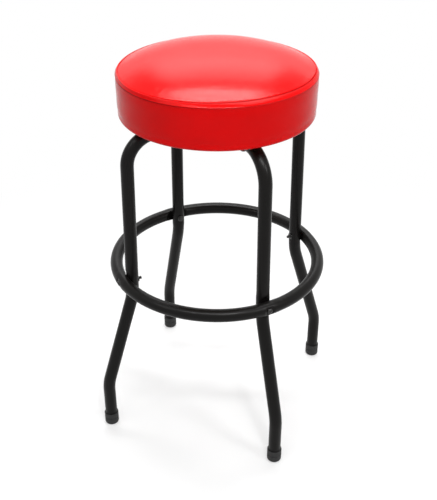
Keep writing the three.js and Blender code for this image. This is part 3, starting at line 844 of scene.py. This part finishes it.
def leg_bolt_shape(shank_top):
    """A flange-headed hexagon bolt that points up from the flange's upper face at height zero."""
    flange, thickness = LEG_BOLT_FLANGE_RADIUS, LEG_BOLT_FLANGE_THICKNESS
    bottom = -thickness - LEG_BOLT_HEAD_HEIGHT
    mark = LEG_BOLT_FLATS * LEG_BOLT_MARK_SHARE
    rings = circles([(0, bottom + EDGE), (mark, bottom + EDGE), (mark + EDGE, bottom)])
    rings += hex_rings(LEG_BOLT_FLATS, bottom, -thickness)[:3]
    rings += circles([
        (hexagon_radii(LEG_BOLT_FLATS), -thickness), (flange - EDGE, -thickness + EDGE / 2),
        (flange, -thickness / 2), (flange, -EDGE / 2), (flange - EDGE, 0), (THREAD_RADIUS, 0)])
    rings += thread_rings(THREAD_RADIUS, shank_top - LEG_BOLT_THREAD, shank_top - THREAD_DEPTH)
    return stacked(rings + circles([(THREAD_RADIUS - THREAD_DEPTH, shank_top), (0, shank_top)]))


def make_ring_fasteners():
    """Bolt and rivet nut at each crossing of ring and leg."""
    bolt_shape, nut_shape = ring_bolt_shape(), rivet_nut_shape()
    for corner, spin in zip(CORNERS, RING_BOLT_SPINS):
        turn = CORNER_PLACES[corner]
        place = turn @ laid(head_seat_reach + FIT_GAP, ring_height) @ Matrix.Rotation(spin, 4, "Z")
        bolt = object_of(f"{corner}_ring_screw", moved(bolt_shape, place))
        cut_recess(bolt, RING_BOLT_HEAD_RADIUS, RING_BOLT_HEAD_HEIGHT, place)
        finished(bolt, "fastener_coat", "base", [f"ring_bolt_{corner}"])
        nut = moved(nut_shape, turn @ laid(nut_seat_reach - FIT_GAP, ring_height))
        finished(object_of(f"{corner}_rivet_nut", nut), "fastener_coat", "base", [f"ring_nut_{corner}"])


def make_leg_bolts():
    """The bolts that hold the legs to the lower plate."""
    seat = LEG_RUN_HEIGHT - TUBE_RADIUS - FIT_GAP
    for bolt in LEG_BOLTS:
        node = f"leg_bolt_{bolt}"
        shape = leg_bolt_shape(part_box(node)[1].z - seat)
        place = Matrix.Translation((*node_middle(node), seat))
        finished(object_of(f"{bolt}_flange_bolt", moved(shape, place)), "fastener_coat", "base", [node])


# Swivel

def plate(name, half_side, low, high, holes, drill_top):
    """A square plate with rounded corners, softened edges, a rivet hole and more holes of (radius, place)."""
    centre = half_side - PLATE_CORNER
    rings = []
    for inset, height in ((EDGE, low), (0, low + EDGE), (0, high - EDGE), (EDGE, high)):
        corner = PLATE_CORNER - inset
        ring = []
        for i, (sx, sy) in enumerate(((1, 1), (-1, 1), (-1, -1), (1, -1))):
            points = arc((sx * centre, sy * centre), corner, i * QUARTER, (i + 1) * QUARTER)
            ring += [(x, y, height) for x, y in points]
        rings.append(ring)
    made = object_of(name, stacked(rings))
    for radius, place in holes + [(RIVET_RADIUS + FIT_GAP, (0.0, 0.0))]:
        drill(made, radius, low - EDGE, drill_top, place)
    return made


def make_swivel():
    """Both plates, the cage, the balls, the rivet and the seat screws."""
    bolts = [node_middle(f"leg_bolt_{bolt}") for bolt in LEG_BOLTS]
    screws = [node_middle(f"seat_screw_{i + 1}") for i in range(SCREW_COUNT)]
    reach = hypot(*screws[0])
    access = (reach * cos(ACCESS_TURN), reach * sin(ACCESS_TURN))

    low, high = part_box("swivel_lower_plate")
    top = high.z - WELD_NUT_HEIGHT
    holes = [(THREAD_RADIUS + FIT_GAP, place) for place in bolts] + [(ACCESS_RADIUS, access)]
    lower = plate("lower_swivel_plate", high.x, low.z, top, holes, high.z)
    nut = weld_nut_shape()
    join_shape(lower, combined([moved(nut, Matrix.Translation((x, y, top))) for x, y in bolts]))
    finished(lower, "plate_coat", "base", ["swivel_lower_plate"])

    low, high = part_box("swivel_upper_plate")
    holes = [(SCREW_RADIUS + FIT_GAP, place) for place in screws]
    upper = plate("upper_swivel_plate", high.x, low.z, high.z, holes, high.z + EDGE)
    finished(upper, "plate_coat", "seat", ["swivel_upper_plate"])

    make_bearing()
    make_rivet()
    make_seat_screws(screws)


def make_bearing():
    """The cage with its pockets, and the balls."""
    low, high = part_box("bearing_cage")
    outer, inner, edge = high.x, high.x - CAGE_WIDTH, EDGE / 2
    profile = [(outer - edge, low.z), (outer, low.z + edge), (outer, high.z - edge), (outer - edge, high.z),
               (inner + edge, high.z), (inner, high.z - edge), (inner, low.z + edge), (inner + edge, low.z)]
    cage = object_of("ball_cage", turned(profile, CAGE_SIDES, closed=True))
    for i in range(1, BALL_COUNT + 1):
        node = f"bearing_ball_{i}"
        ball_low, ball_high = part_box(node)
        radius = (ball_high.z - ball_low.z) / 2
        middle = (ball_low + ball_high) / 2
        drill(cage, radius + FIT_GAP, low.z - EDGE, high.z + EDGE, (middle.x, middle.y))
        ball = turned(arc((0, 0), radius, -QUARTER, QUARTER, BALL_SIDES // 2), BALL_SIDES)
        finished(object_of(f"steel_ball_{i}", moved(ball, Matrix.Translation(middle))),
                 "ball_steel", "bearing", [node], sharp=60)
    finished(cage, "zinc_steel", "bearing", ["bearing_cage"])


def make_rivet():
    """The pivot rivet, with a dimple where its lower end was set."""
    low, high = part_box("swivel_rivet")
    head, thick = high.x, RIVET_HEAD_HEIGHT
    lower_face, upper_face = low.z + thick, high.z - thick
    dimple = head * RIVET_DIMPLE_SHARE
    profile = [(0, low.z + EDGE), (dimple, low.z + EDGE), (dimple + EDGE, low.z)]
    profile += arc((head - thick, lower_face), thick, -QUARTER, 0)
    profile += [(RIVET_RADIUS, lower_face), (RIVET_RADIUS, upper_face)]
    profile += arc((head - thick, upper_face), thick, 0, QUARTER) + [(0, high.z)]
    finished(object_of("pivot_rivet", turned(profile)), "zinc_steel", "base", ["swivel_rivet"])


def make_seat_screws(places):
    """Pan-head screws up through the upper plate into the board."""
    for i, (x, y) in enumerate(places, 1):
        node = f"seat_screw_{i}"
        low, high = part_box(node)
        head, head_top, tip = SCREW_HEAD_RADIUS, low.z + SCREW_HEAD_HEIGHT, high.z - SCREW_TIP
        profile = [(0, low.z)] + arc((0, head_top - EDGE), (head, SCREW_HEAD_HEIGHT - EDGE), -QUARTER, 0)
        rings = circles(profile + [(head - EDGE, head_top), (SCREW_RADIUS, head_top)])
        rings += thread_rings(SCREW_RADIUS, head_top + EDGE, tip, SCREW_PITCH)
        rings += circles([(SCREW_RADIUS - THREAD_DEPTH, tip), (0, high.z)])
        screw = object_of(f"seat_wood_screw_{i}", moved(stacked(rings), Matrix.Translation((x, y, 0))))
        cut_recess(screw, head, low.z, Matrix.Translation((x, y, 2 * low.z)) @ Matrix.Scale(-1, 4, UP))
        finished(screw, "zinc_steel", "seat", [node])


# Seat

cover_low, cover_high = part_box("seat_cover")
board_low, board_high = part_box("seat_board")
seat_radius = cover_high.x
seat_bottom = cover_low.z
crown_top = cover_high.z
crown_edge = seat_radius - CROWN_EDGE_INSET
seam_radius = seat_radius - SEAM_INSET
band_radius = seat_radius - BAND_INSET
welt_low = crown_top - WELT_DROP
band_top = welt_low - NOTCH_DROP
band_foot = seat_bottom + RIM_BEND
band_foot_radius = band_radius - SEAT_TAPER
board_radius = band_foot_radius - BOARD_INSET
hem_bottom = board_low.z - FIT_GAP - COVER_THICKNESS
hem_radius = board_radius - HEM_WIDTH


def oval_at(turn):
    """How far the seam lies inwards at a turn, from -1 to 1."""
    return np.cos(2 * (turn - SEAM_OVAL_TURN))


def seam_at(oval):
    """The seam's radius."""
    return seam_radius - SEAM_OVAL * oval


def crown_height(radius):
    """Height of the crown's dome."""
    return crown_top - CROWN_RISE * (radius / crown_edge) ** CROWN_POWER


def crown_outline(oval):
    """The crown from its middle to the bottom of the seam."""
    seam = seam_at(oval)
    depth = SEAM_DEPTH * (1 - SEAM_UNEVEN * (1 - oval))
    edge = seam - SEAM_HALF
    radii = [share * (edge - CROWN_ROLL) for share in np.linspace(0, 1, CROWN_STEPS, endpoint=False)]
    points = [(radius, crown_height(radius)) for radius in radii]
    for turn in np.linspace(0, QUARTER, ROLL_STEPS + 1):
        radius = edge - CROWN_ROLL * (1 - sin(turn))
        points.append((radius, crown_height(radius) - depth * (1 - cos(turn))))
    points.append((seam, crown_height(seam) - depth - SEAM_HALF / 2))
    return points


def welt_outline(oval):
    """The welt between the seam and the band: a flat face, a narrow facet, a tight edge and a notch."""
    seam, edge, facing = seam_at(oval), WELT_EDGE_RADIUS, WELT_FACET_FACING
    low = welt_low + WELT_DROP_OVAL * oval
    end = band_radius + WELT_OVERHANG
    facet_end = (end - edge * (1 - cos(facing)), low + edge * sin(facing))
    facet_start = (facet_end[0] - WELT_FACET * sin(facing), facet_end[1] + WELT_FACET * cos(facing))
    top = (seam + 2 * SEAM_HALF, crown_height(seam) - SEAM_HALF)
    points = arc(top, SEAM_HALF, 2 * QUARTER, WELT_EDGE_TURN, SMALL_ARC_STEPS)
    first = points[-1]
    for share in even_shares(WELT_STEPS)[1:]:
        bulge = WELT_BULGE * sin(pi * share)
        points.append([a + (b - a) * share + bulge for a, b in zip(first, facet_start)])
    points += arc((end - edge, low), edge, facing, -WELT_EDGE_TURN, ROLL_STEPS)
    points.append((band_radius - NOTCH_DEPTH * (1 - SEAM_UNEVEN * (1 + oval)), low - NOTCH_DROP))
    return points


def band_outline(start_height, inset=0.0):
    """The band, the rim under it, and the hem that lies under the board."""
    corner = start_height - BAND_ROLL
    points = arc((band_radius - inset - BAND_ROLL, corner), BAND_ROLL, QUARTER, 0, ROLL_STEPS)
    for share in even_shares(BAND_STEPS)[1:-1]:
        bulge = BAND_BULGE * sin(pi * share)
        radius = band_radius - SEAT_TAPER * share + bulge - inset
        points.append((radius, corner + (band_foot - corner) * share))
    bend = RIM_BEND - inset
    points += arc((band_foot_radius - RIM_BEND, band_foot), bend, 0, -QUARTER, RIM_STEPS)
    (reach, height), hem = points[-1], hem_bottom + inset
    for share in even_shares(HEM_STEPS)[1:]:
        points.append((reach + (board_radius - reach) * share, height + (hem - height) * eased(share)))
    return points + [(radius, hem) for radius in np.linspace(board_radius, hem_radius, HEM_STEPS + 1)[1:]]


def lining_outline(inset):
    """A plain outline under the cover, from the middle of the crown to the hem."""
    wide, tall = INNER_CORNER
    turn_in = band_radius - inset - wide
    deepest = SEAM_DEPTH + SEAM_HALF
    points = []
    for radius in np.linspace(0, turn_in, LINING_STEPS + 1):
        points.append((radius, crown_height(radius) - inset - deepest * (radius / turn_in) ** 2))
    corner = points[-1][1] - tall
    points += arc((turn_in, corner), (wide, tall), QUARTER, 0)[1:]
    return points + band_outline(corner - tall / 2, inset)[1:]


def waves(angle, count, spread, terms=5):
    """A gentle, uneven wave round the seat, between about -1 and 1."""
    total = np.zeros_like(angle)
    for _ in range(terms):
        turns = round(count + spread * random_seat.uniform(-1, 1))
        total += np.sin(turns * angle + random_seat.uniform(0, FULL))
    return total / terms


def pleat_wave(angle):
    """A saw tooth with uneven teeth: each pleat rises slowly and drops at its fold."""
    edges = np.sort(np.arange(PLEAT_COUNT) + random_seat.uniform(-PLEAT_UNEVEN, PLEAT_UNEVEN, PLEAT_COUNT))
    edges = np.concatenate([edges, [edges[0] + PLEAT_COUNT]])
    place = (angle / FULL * PLEAT_COUNT - edges[0]) % PLEAT_COUNT + edges[0]
    index = np.clip(np.searchsorted(edges, place, side="right") - 1, 0, PLEAT_COUNT - 1)
    share = (place - edges[index]) / (edges[index + 1] - edges[index])
    slope = 1 - PLEAT_FOLD_SHARE
    return np.where(share < slope, share / slope, (1 - share) / PLEAT_FOLD_SHARE)


def skin_before_swelling(angle, oval):
    """The cover's closed skin, a little low on the crown and narrow on the band."""
    seam = seam_at(oval)
    rings = []
    for share in even_shares(CLOTH_CROWN_ROWS)[1:]:
        low = (CLOTH_CROWN_LOSS + CLOTH_SHOULDER_LOSS * share ** 4) * (1 - share ** 2)
        rings.append(ring_of(seam * share, crown_height(seam * share) - low, angle))
    for share in even_shares(CLOTH_BAND_ROWS):
        radius = band_radius - SEAT_TAPER * share - CLOTH_BAND_LOSS * sin(pi * share)
        rings.append(ring_of(radius, band_top + (band_foot - band_top) * share, angle))
    rings.append(ring_of(board_radius, hem_bottom, angle))
    return stacked(rings)


def swollen_skin(angle, oval):
    """Runs the cloth simulation on the skin, held at seam and rim, and returns it for casting rays."""
    skin = object_of("swelling_skin", skin_before_swelling(angle, oval))
    modifier = skin.modifiers.new("remesh", "REMESH")
    modifier.mode = "VOXEL"
    modifier.voxel_size = CLOTH_VOXEL
    apply_modifiers(skin)
    radius, height, turn = round_places(skin.data)
    at_seam = (radius > seam_at(oval_at(turn)) - CLOTH_HELD / 2) & (height > band_top - CLOTH_HELD / 2)
    at_rim = height < band_foot + CLOTH_HELD / 2
    pins = skin.vertex_groups.new(name="held")
    pins.add(np.nonzero(at_seam | at_rim)[0].tolist(), 1.0, "REPLACE")
    modifier = skin.modifiers.new("cloth", "CLOTH")
    cloth = modifier.settings
    cloth.vertex_group_mass = "held"
    cloth.tension_stiffness = cloth.compression_stiffness = CLOTH_STIFFNESS
    cloth.shrink_min = -CLOTH_SURPLUS
    cloth.use_pressure = True
    cloth.uniform_pressure_force = CLOTH_PRESSURE
    cloth.effector_weights.gravity = 0
    modifier.point_cache.frame_end = CLOTH_FRAMES
    skin.modifiers.new("finer", "SUBSURF").levels = 1
    for i in range(CLOTH_FRAMES):
        bpy.context.scene.frame_set(i + 1)
    settled = evaluated(skin).data
    tree = BVHTree.FromPolygons([vertex.co.copy() for vertex in settled.vertices],
                                [tuple(face.vertices) for face in settled.polygons])
    bpy.data.objects.remove(skin)
    bpy.context.scene.frame_set(1)
    return tree


def swelling(angle, oval):
    """How far the swollen skin stands off the plain crown (upwards) and off the plain band (outwards)."""
    crown_shares = even_shares(CLOTH_CROWN_ROWS)[:-2]
    band_shares = even_shares(CLOTH_BAND_ROWS)[2:-2]
    crown, band = [np.zeros((len(shares), len(angle))) for shares in (crown_shares, band_shares)]
    skin = swollen_skin(angle, oval)
    for j, (turn, seam) in enumerate(zip(angle, seam_at(oval))):
        out = Vector((cos(turn), sin(turn), 0))
        for i, share in enumerate(crown_shares):
            radius = float(seam) * share
            hit = skin.ray_cast(out * radius + UP * (crown_top + CLOTH_HELD), -UP)[0]
            crown[i, j] = hit.z - crown_height(radius)
        for i, share in enumerate(band_shares):
            height = band_top + (band_foot - band_top) * share
            hit = skin.ray_cast(out * (seat_radius + CLOTH_HELD) + UP * height, -out)[0]
            band[i, j] = hypot(hit.x, hit.y) - (band_radius - SEAT_TAPER * share)
    return smooth_curve(crown_shares, crown), smooth_curve(band_shares, band)


def smooth_curve(shares, moves):
    """A smooth curve down each column, with only slow waves from column to column."""
    curve = np.polyfit(shares, np.clip(moves, -CLOTH_MOST_MOVE, CLOTH_MOST_MOVE), CLOTH_CURVE_DEGREE)
    tones = np.fft.rfft(curve, axis=1)
    tones[:, CLOTH_WAVES:] = 0
    return np.fft.irfft(tones, moves.shape[1], axis=1)


def curve_at(curve, share, left, fade):
    """The curve's value at a share of its way, fading out where little of the way is left."""
    total = 0.0
    for factor in curve:
        total = total * share + factor
    return total * eased(np.clip(left / fade, 0, 1))


def seat_cover_shape():
    """The vinyl cover: one shell with its gathers at the seam and its pleated hem under the board."""
    angle = even_turns(SEAT_COLUMNS)
    gathers = waves(angle, PUCKER_COUNT, PUCKER_SPREAD, terms=7)
    slow = waves(angle, count=4, spread=2)
    lean = waves(angle, count=3, spread=1)
    pleats = pleat_wave(angle)
    oval = oval_at(angle)
    seam = seam_at(oval)
    crown_swell, band_swell = swelling(angle, oval)
    rings = []
    for radius, height in crown_outline(oval):
        share = radius / seam
        near_seam = np.exp((radius - seam) / PUCKER_REACH)
        rise = PUCKER_HEIGHT * near_seam * gathers + CROWN_UNEVEN * np.sin(pi * share) * slow
        swell = curve_at(crown_swell, share, 1 - share, CROWN_FADE)
        rings.append(ring_of(radius, height + rise + swell, angle))
    for radius, height in welt_outline(oval):
        fade = np.clip((height - welt_low) / (crown_height(seam) - welt_low), 0, 1)
        rings.append(ring_of(radius, height + PUCKER_HEIGHT * fade * gathers, angle))
    for radius, height in band_outline(band_top):
        on_band = band_foot < height < band_top
        under = (band_foot_radius - RIM_BEND - radius) / HEM_WIDTH if height < hem_bottom + EDGE else 0.0
        drop = PLEAT_HEIGHT * min(1.0, max(0.0, under)) * pleats
        share = (height - seat_bottom) / (band_top - seat_bottom)
        lift = WELT_DROP_OVAL * oval * max(0.0, share) ** 2
        down = np.clip((band_top - height) / (band_top - band_foot), 0, 1)
        swell = curve_at(band_swell, down, min(down, 1 - down), BAND_FADE)
        reach = radius + (BAND_BULGE / 2 * lean + swell) * on_band
        rings.append(ring_of(reach, height + lift - drop, angle))
    inside = circles(lining_outline(COVER_THICKNESS), SEAT_COLUMNS)
    return stacked(rings + inside[::-1])


def paint_seam_shade(cover):
    """Marks how much painted shade each point gets: in the seam, over the crown's roll and the welt's face
    beside it, and in the notch.
    """
    radius, height, turn = round_places(cover.data)
    oval = oval_at(turn)
    notch = welt_low + WELT_DROP_OVAL * oval - NOTCH_DROP
    seam_painted_shade = np.interp(radius - seam_at(oval), PAINTED_SHADE_PLACES, PAINTED_SHADE_SHARES) * (height > band_top)
    notch_painted_shade = np.clip(1 - np.abs(height - notch) / NOTCH_PAINTED_SHADE_HALF, 0, 1) * (radius > crown_edge)
    painted_shade = seam_painted_shade * (1 - SEAM_UNEVEN * (1 - oval)) + notch_painted_shade * (1 - SEAM_UNEVEN * (1 + oval))
    cover.data.attributes.new("painted_seam_shade", "FLOAT", "POINT").data.foreach_set("value", painted_shade)


def padding_shape():
    """The foam inside the cover, with its pocket for the board."""
    pocket_radius, pocket_top = board_radius + FIT_GAP, board_high.z + FIT_GAP
    outline = [point for point in lining_outline(COVER_THICKNESS + FIT_GAP)
               if point[0] > pocket_radius or point[1] > board_high.z + BOARD_THICKNESS]
    outline += [(pocket_radius, outline[-1][1]), (pocket_radius, pocket_top), (0, pocket_top)]
    return turned(outline, PADDING_SIDES)


def staple_shape():
    """One wire staple, lying along X with its legs pointing up."""
    half, bend, leg_top = STAPLE_WIDTH / 2, 2 * STAPLE_WIRE, 4 * STAPLE_WIRE
    line = [(-half, leg_top)] + arc((bend - half, bend), -bend, 0, QUARTER, SMALL_ARC_STEPS)
    points = np.array(line + [(-x, z) for x, z in reversed(line)])
    directions = np.gradient(points, axis=0)
    directions /= np.linalg.norm(directions, axis=1)[:, None]
    angle = even_turns(STAPLE_SIDES)
    across, out = STAPLE_WIRE * np.cos(angle), STAPLE_FLATNESS * STAPLE_WIRE * np.sin(angle)
    rings = []
    for (x, z), (dx, dz) in zip(points, directions):
        rings.append(np.stack([x - out * dz, across, z + out * dx], axis=1))
    return stacked(rings)


def make_staples():
    """A row of staples round the hem."""
    staple = staple_shape()
    start = (hem_radius + STAPLE_INSET, 0, hem_bottom - PLEAT_HEIGHT * STAPLE_DROP_SHARE)
    shapes = []
    for i in range(STAPLE_COUNT):
        turn = (i + random_seat.uniform(-STAPLE_UNEVEN, STAPLE_UNEVEN)) * FULL / STAPLE_COUNT
        tilt = random_seat.uniform(-STAPLE_TILT, STAPLE_TILT)
        place = Matrix.Rotation(turn, 4, "Z") @ Matrix.Translation(start)
        shapes.append(moved(staple, place @ Matrix.Rotation(QUARTER + tilt, 4, "Z")))
    finished(object_of("hem_staples", combined(shapes)), "zinc_steel", "seat")


def make_seat():
    """Cover, padding, board and staples."""
    cover = object_of("vinyl_seat_cover", seat_cover_shape())
    finished(cover, "vinyl", "seat", ["seat_cover"], sharp=50)
    # Painted shade in the seam, over the welt's face and in the notch
    paint_seam_shade(cover)
    padding = object_of("seat_padding", padding_shape())
    finished(padding, "foam", "seat", ["seat_foam"])
    give_material(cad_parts["seat_board"], "plywood")
    make_staples()


# Stage: floor, light and camera

CAMERA_AZIMUTH = radians(17.72)
CAMERA_DISTANCE = 1.4044
CAMERA_HEIGHT = 1.2220
CAMERA_PITCH = radians(31.88)
CAMERA_LENS = 60.27
CAMERA_SENSOR = 36.0
CAMERA_SHIFT = 0.0030
FLOOR_SIZE = 30.0
FLOOR_COLOUR = (0.84, 0.84, 0.84)
FLOOR_GLOW = 0.35
FLOOR_LIFT = 0.12
FLOOR_NEAR = 0.45
FLOOR_FAR = 1.1
WHITE = (1.0, 1.0, 1.0)
AMBIENT = 0.10
LAMPS = {
    # name: azimuth and elevation from the seat, roll, distance, width, depth, watts
    "overhead": (180, 71, 0, 1.5, 1.55, 0.25, 28),
    "front_strip": (-4, 53, 0, 1.77, 1.50, 0.12, 20),
    "left_top": (-62, 47, 28, 1.75, 1.40, 0.12, 4),
    "right_top": (98, 69, 0, 1.5, 0.70, 0.26, 4.5),
    "back": (180, 41, 0, 2.6, 1.70, 1.00, 18),
    "back_low": (180, 25, 0, 2.6, 3.00, 0.50, 4.5),
    "key": (15, 48, 0, 2.2, 0.20, 0.20, 14),
    "left": (-58, 33, 0, 2.2, 0.45, 0.45, 4),
    "right": (52, 30, 0, 2.2, 0.45, 0.45, 15),
}


def make_camera():
    """The camera at the photograph's angle."""
    data = bpy.data.cameras.new("camera")
    data.sensor_width = CAMERA_SENSOR
    data.lens = CAMERA_LENS
    data.shift_x = CAMERA_SHIFT
    camera = linked("camera", data)
    camera.location = (CAMERA_DISTANCE * sin(CAMERA_AZIMUTH),
                       -CAMERA_DISTANCE * cos(CAMERA_AZIMUTH), CAMERA_HEIGHT)
    camera.rotation_euler = (QUARTER - CAMERA_PITCH, 0, CAMERA_AZIMUTH)
    bpy.context.scene.camera = camera


def shown_white(tree, plain, white, share):
    """Mixes a share of white into a plain shader, for the camera, gloss and glass only."""
    rays = tree.nodes.new("ShaderNodeLightPath").outputs
    seen = rays["Is Camera Ray"]
    for kind in ("Is Glossy Ray", "Is Transmission Ray"):
        seen = add_node(tree, "ShaderNodeMath", 0, {0: seen, 1: rays[kind]}, operation="MAXIMUM")
    seen = add_node(tree, "ShaderNodeMath", 0, {0: seen, 1: share}, operation="MULTIPLY")
    return add_node(tree, "ShaderNodeMixShader", 0, {0: seen, 1: plain, 2: white})


def make_floor():
    """A plain pale floor that keeps a faint shadow of the object, and is clear when seen from below."""
    half = FLOOR_SIZE / 2
    corners = [(-half, -half, 0), (half, -half, 0), (half, half, 0), (-half, half, 0)]
    floor = object_of("floor", (corners, [(0, 1, 2, 3)]))
    material = bpy.data.materials.new("pale_floor")
    material.use_nodes = True
    tree = material.node_tree
    place = add_node(tree, "ShaderNodeTexCoord", "Object", {})
    distance = add_node(tree, "ShaderNodeVectorMath", "Value", {0: place}, operation="LENGTH")
    glow = smooth_range(tree, distance, FLOOR_NEAR, FLOOR_FAR, FLOOR_GLOW, 1.0)
    lift = smooth_range(tree, distance, FLOOR_NEAR, FLOOR_FAR, 1.0 + FLOOR_LIFT, 1.0)
    plain = add_node(tree, "ShaderNodeBsdfDiffuse", 0, {"Color": FLOOR_COLOUR})
    white = add_node(tree, "ShaderNodeEmission", 0, {"Strength": lift})
    above = shown_white(tree, plain, white, glow)
    below = add_node(tree, "ShaderNodeBsdfTransparent", 0, {})
    back = add_node(tree, "ShaderNodeNewGeometry", "Backfacing", {})
    sides = add_node(tree, "ShaderNodeMixShader", 0, {0: back, 1: above, 2: below})
    tree.links.new(sides, tree.nodes["Material Output"].inputs["Surface"])
    floor.data.materials.append(material)


def make_world():
    """White for what sees the background, and a softer even light on the object."""
    world = bpy.data.worlds.new("studio")
    world.use_nodes = True
    tree = world.node_tree
    soft = tree.nodes["Background"]
    soft.inputs["Color"].default_value = (*WHITE, 1.0)
    soft.inputs["Strength"].default_value = AMBIENT
    white = add_node(tree, "ShaderNodeBackground", 0, {"Color": WHITE})
    shown = shown_white(tree, soft.outputs[0], white, 1.0)
    tree.links.new(shown, tree.nodes["World Output"].inputs["Surface"])
    bpy.context.scene.world = world


def make_lamps():
    """Soft boxes round the stool, each aimed at the seat; azimuths are counted from the camera."""
    aim = Vector((0, 0, (band_top + seat_bottom) / 2))
    for name, (azimuth, elevation, roll, distance, width, depth, watts) in LAMPS.items():
        data = bpy.data.lights.new(name, "AREA")
        data.shape = "ELLIPSE" if name == "overhead" else "RECTANGLE"
        data.size, data.size_y, data.energy = width, depth, watts
        lamp = linked(name, data)
        turn, rise = CAMERA_AZIMUTH + radians(azimuth), radians(elevation)
        away = Vector((sin(turn) * cos(rise), -cos(turn) * cos(rise), sin(rise)))
        lamp.location = aim + away * distance
        lamp.rotation_mode = "QUATERNION"
        lamp.rotation_quaternion = Quaternion(away, radians(roll)) @ away.to_track_quat("Z", "Y")


make_camera()
make_floor()
make_world()
make_lamps()
make_frame()
make_ring_fasteners()
make_leg_bolts()
make_swivel()
make_seat()
bpy.context.scene.view_settings.view_transform = "Standard"
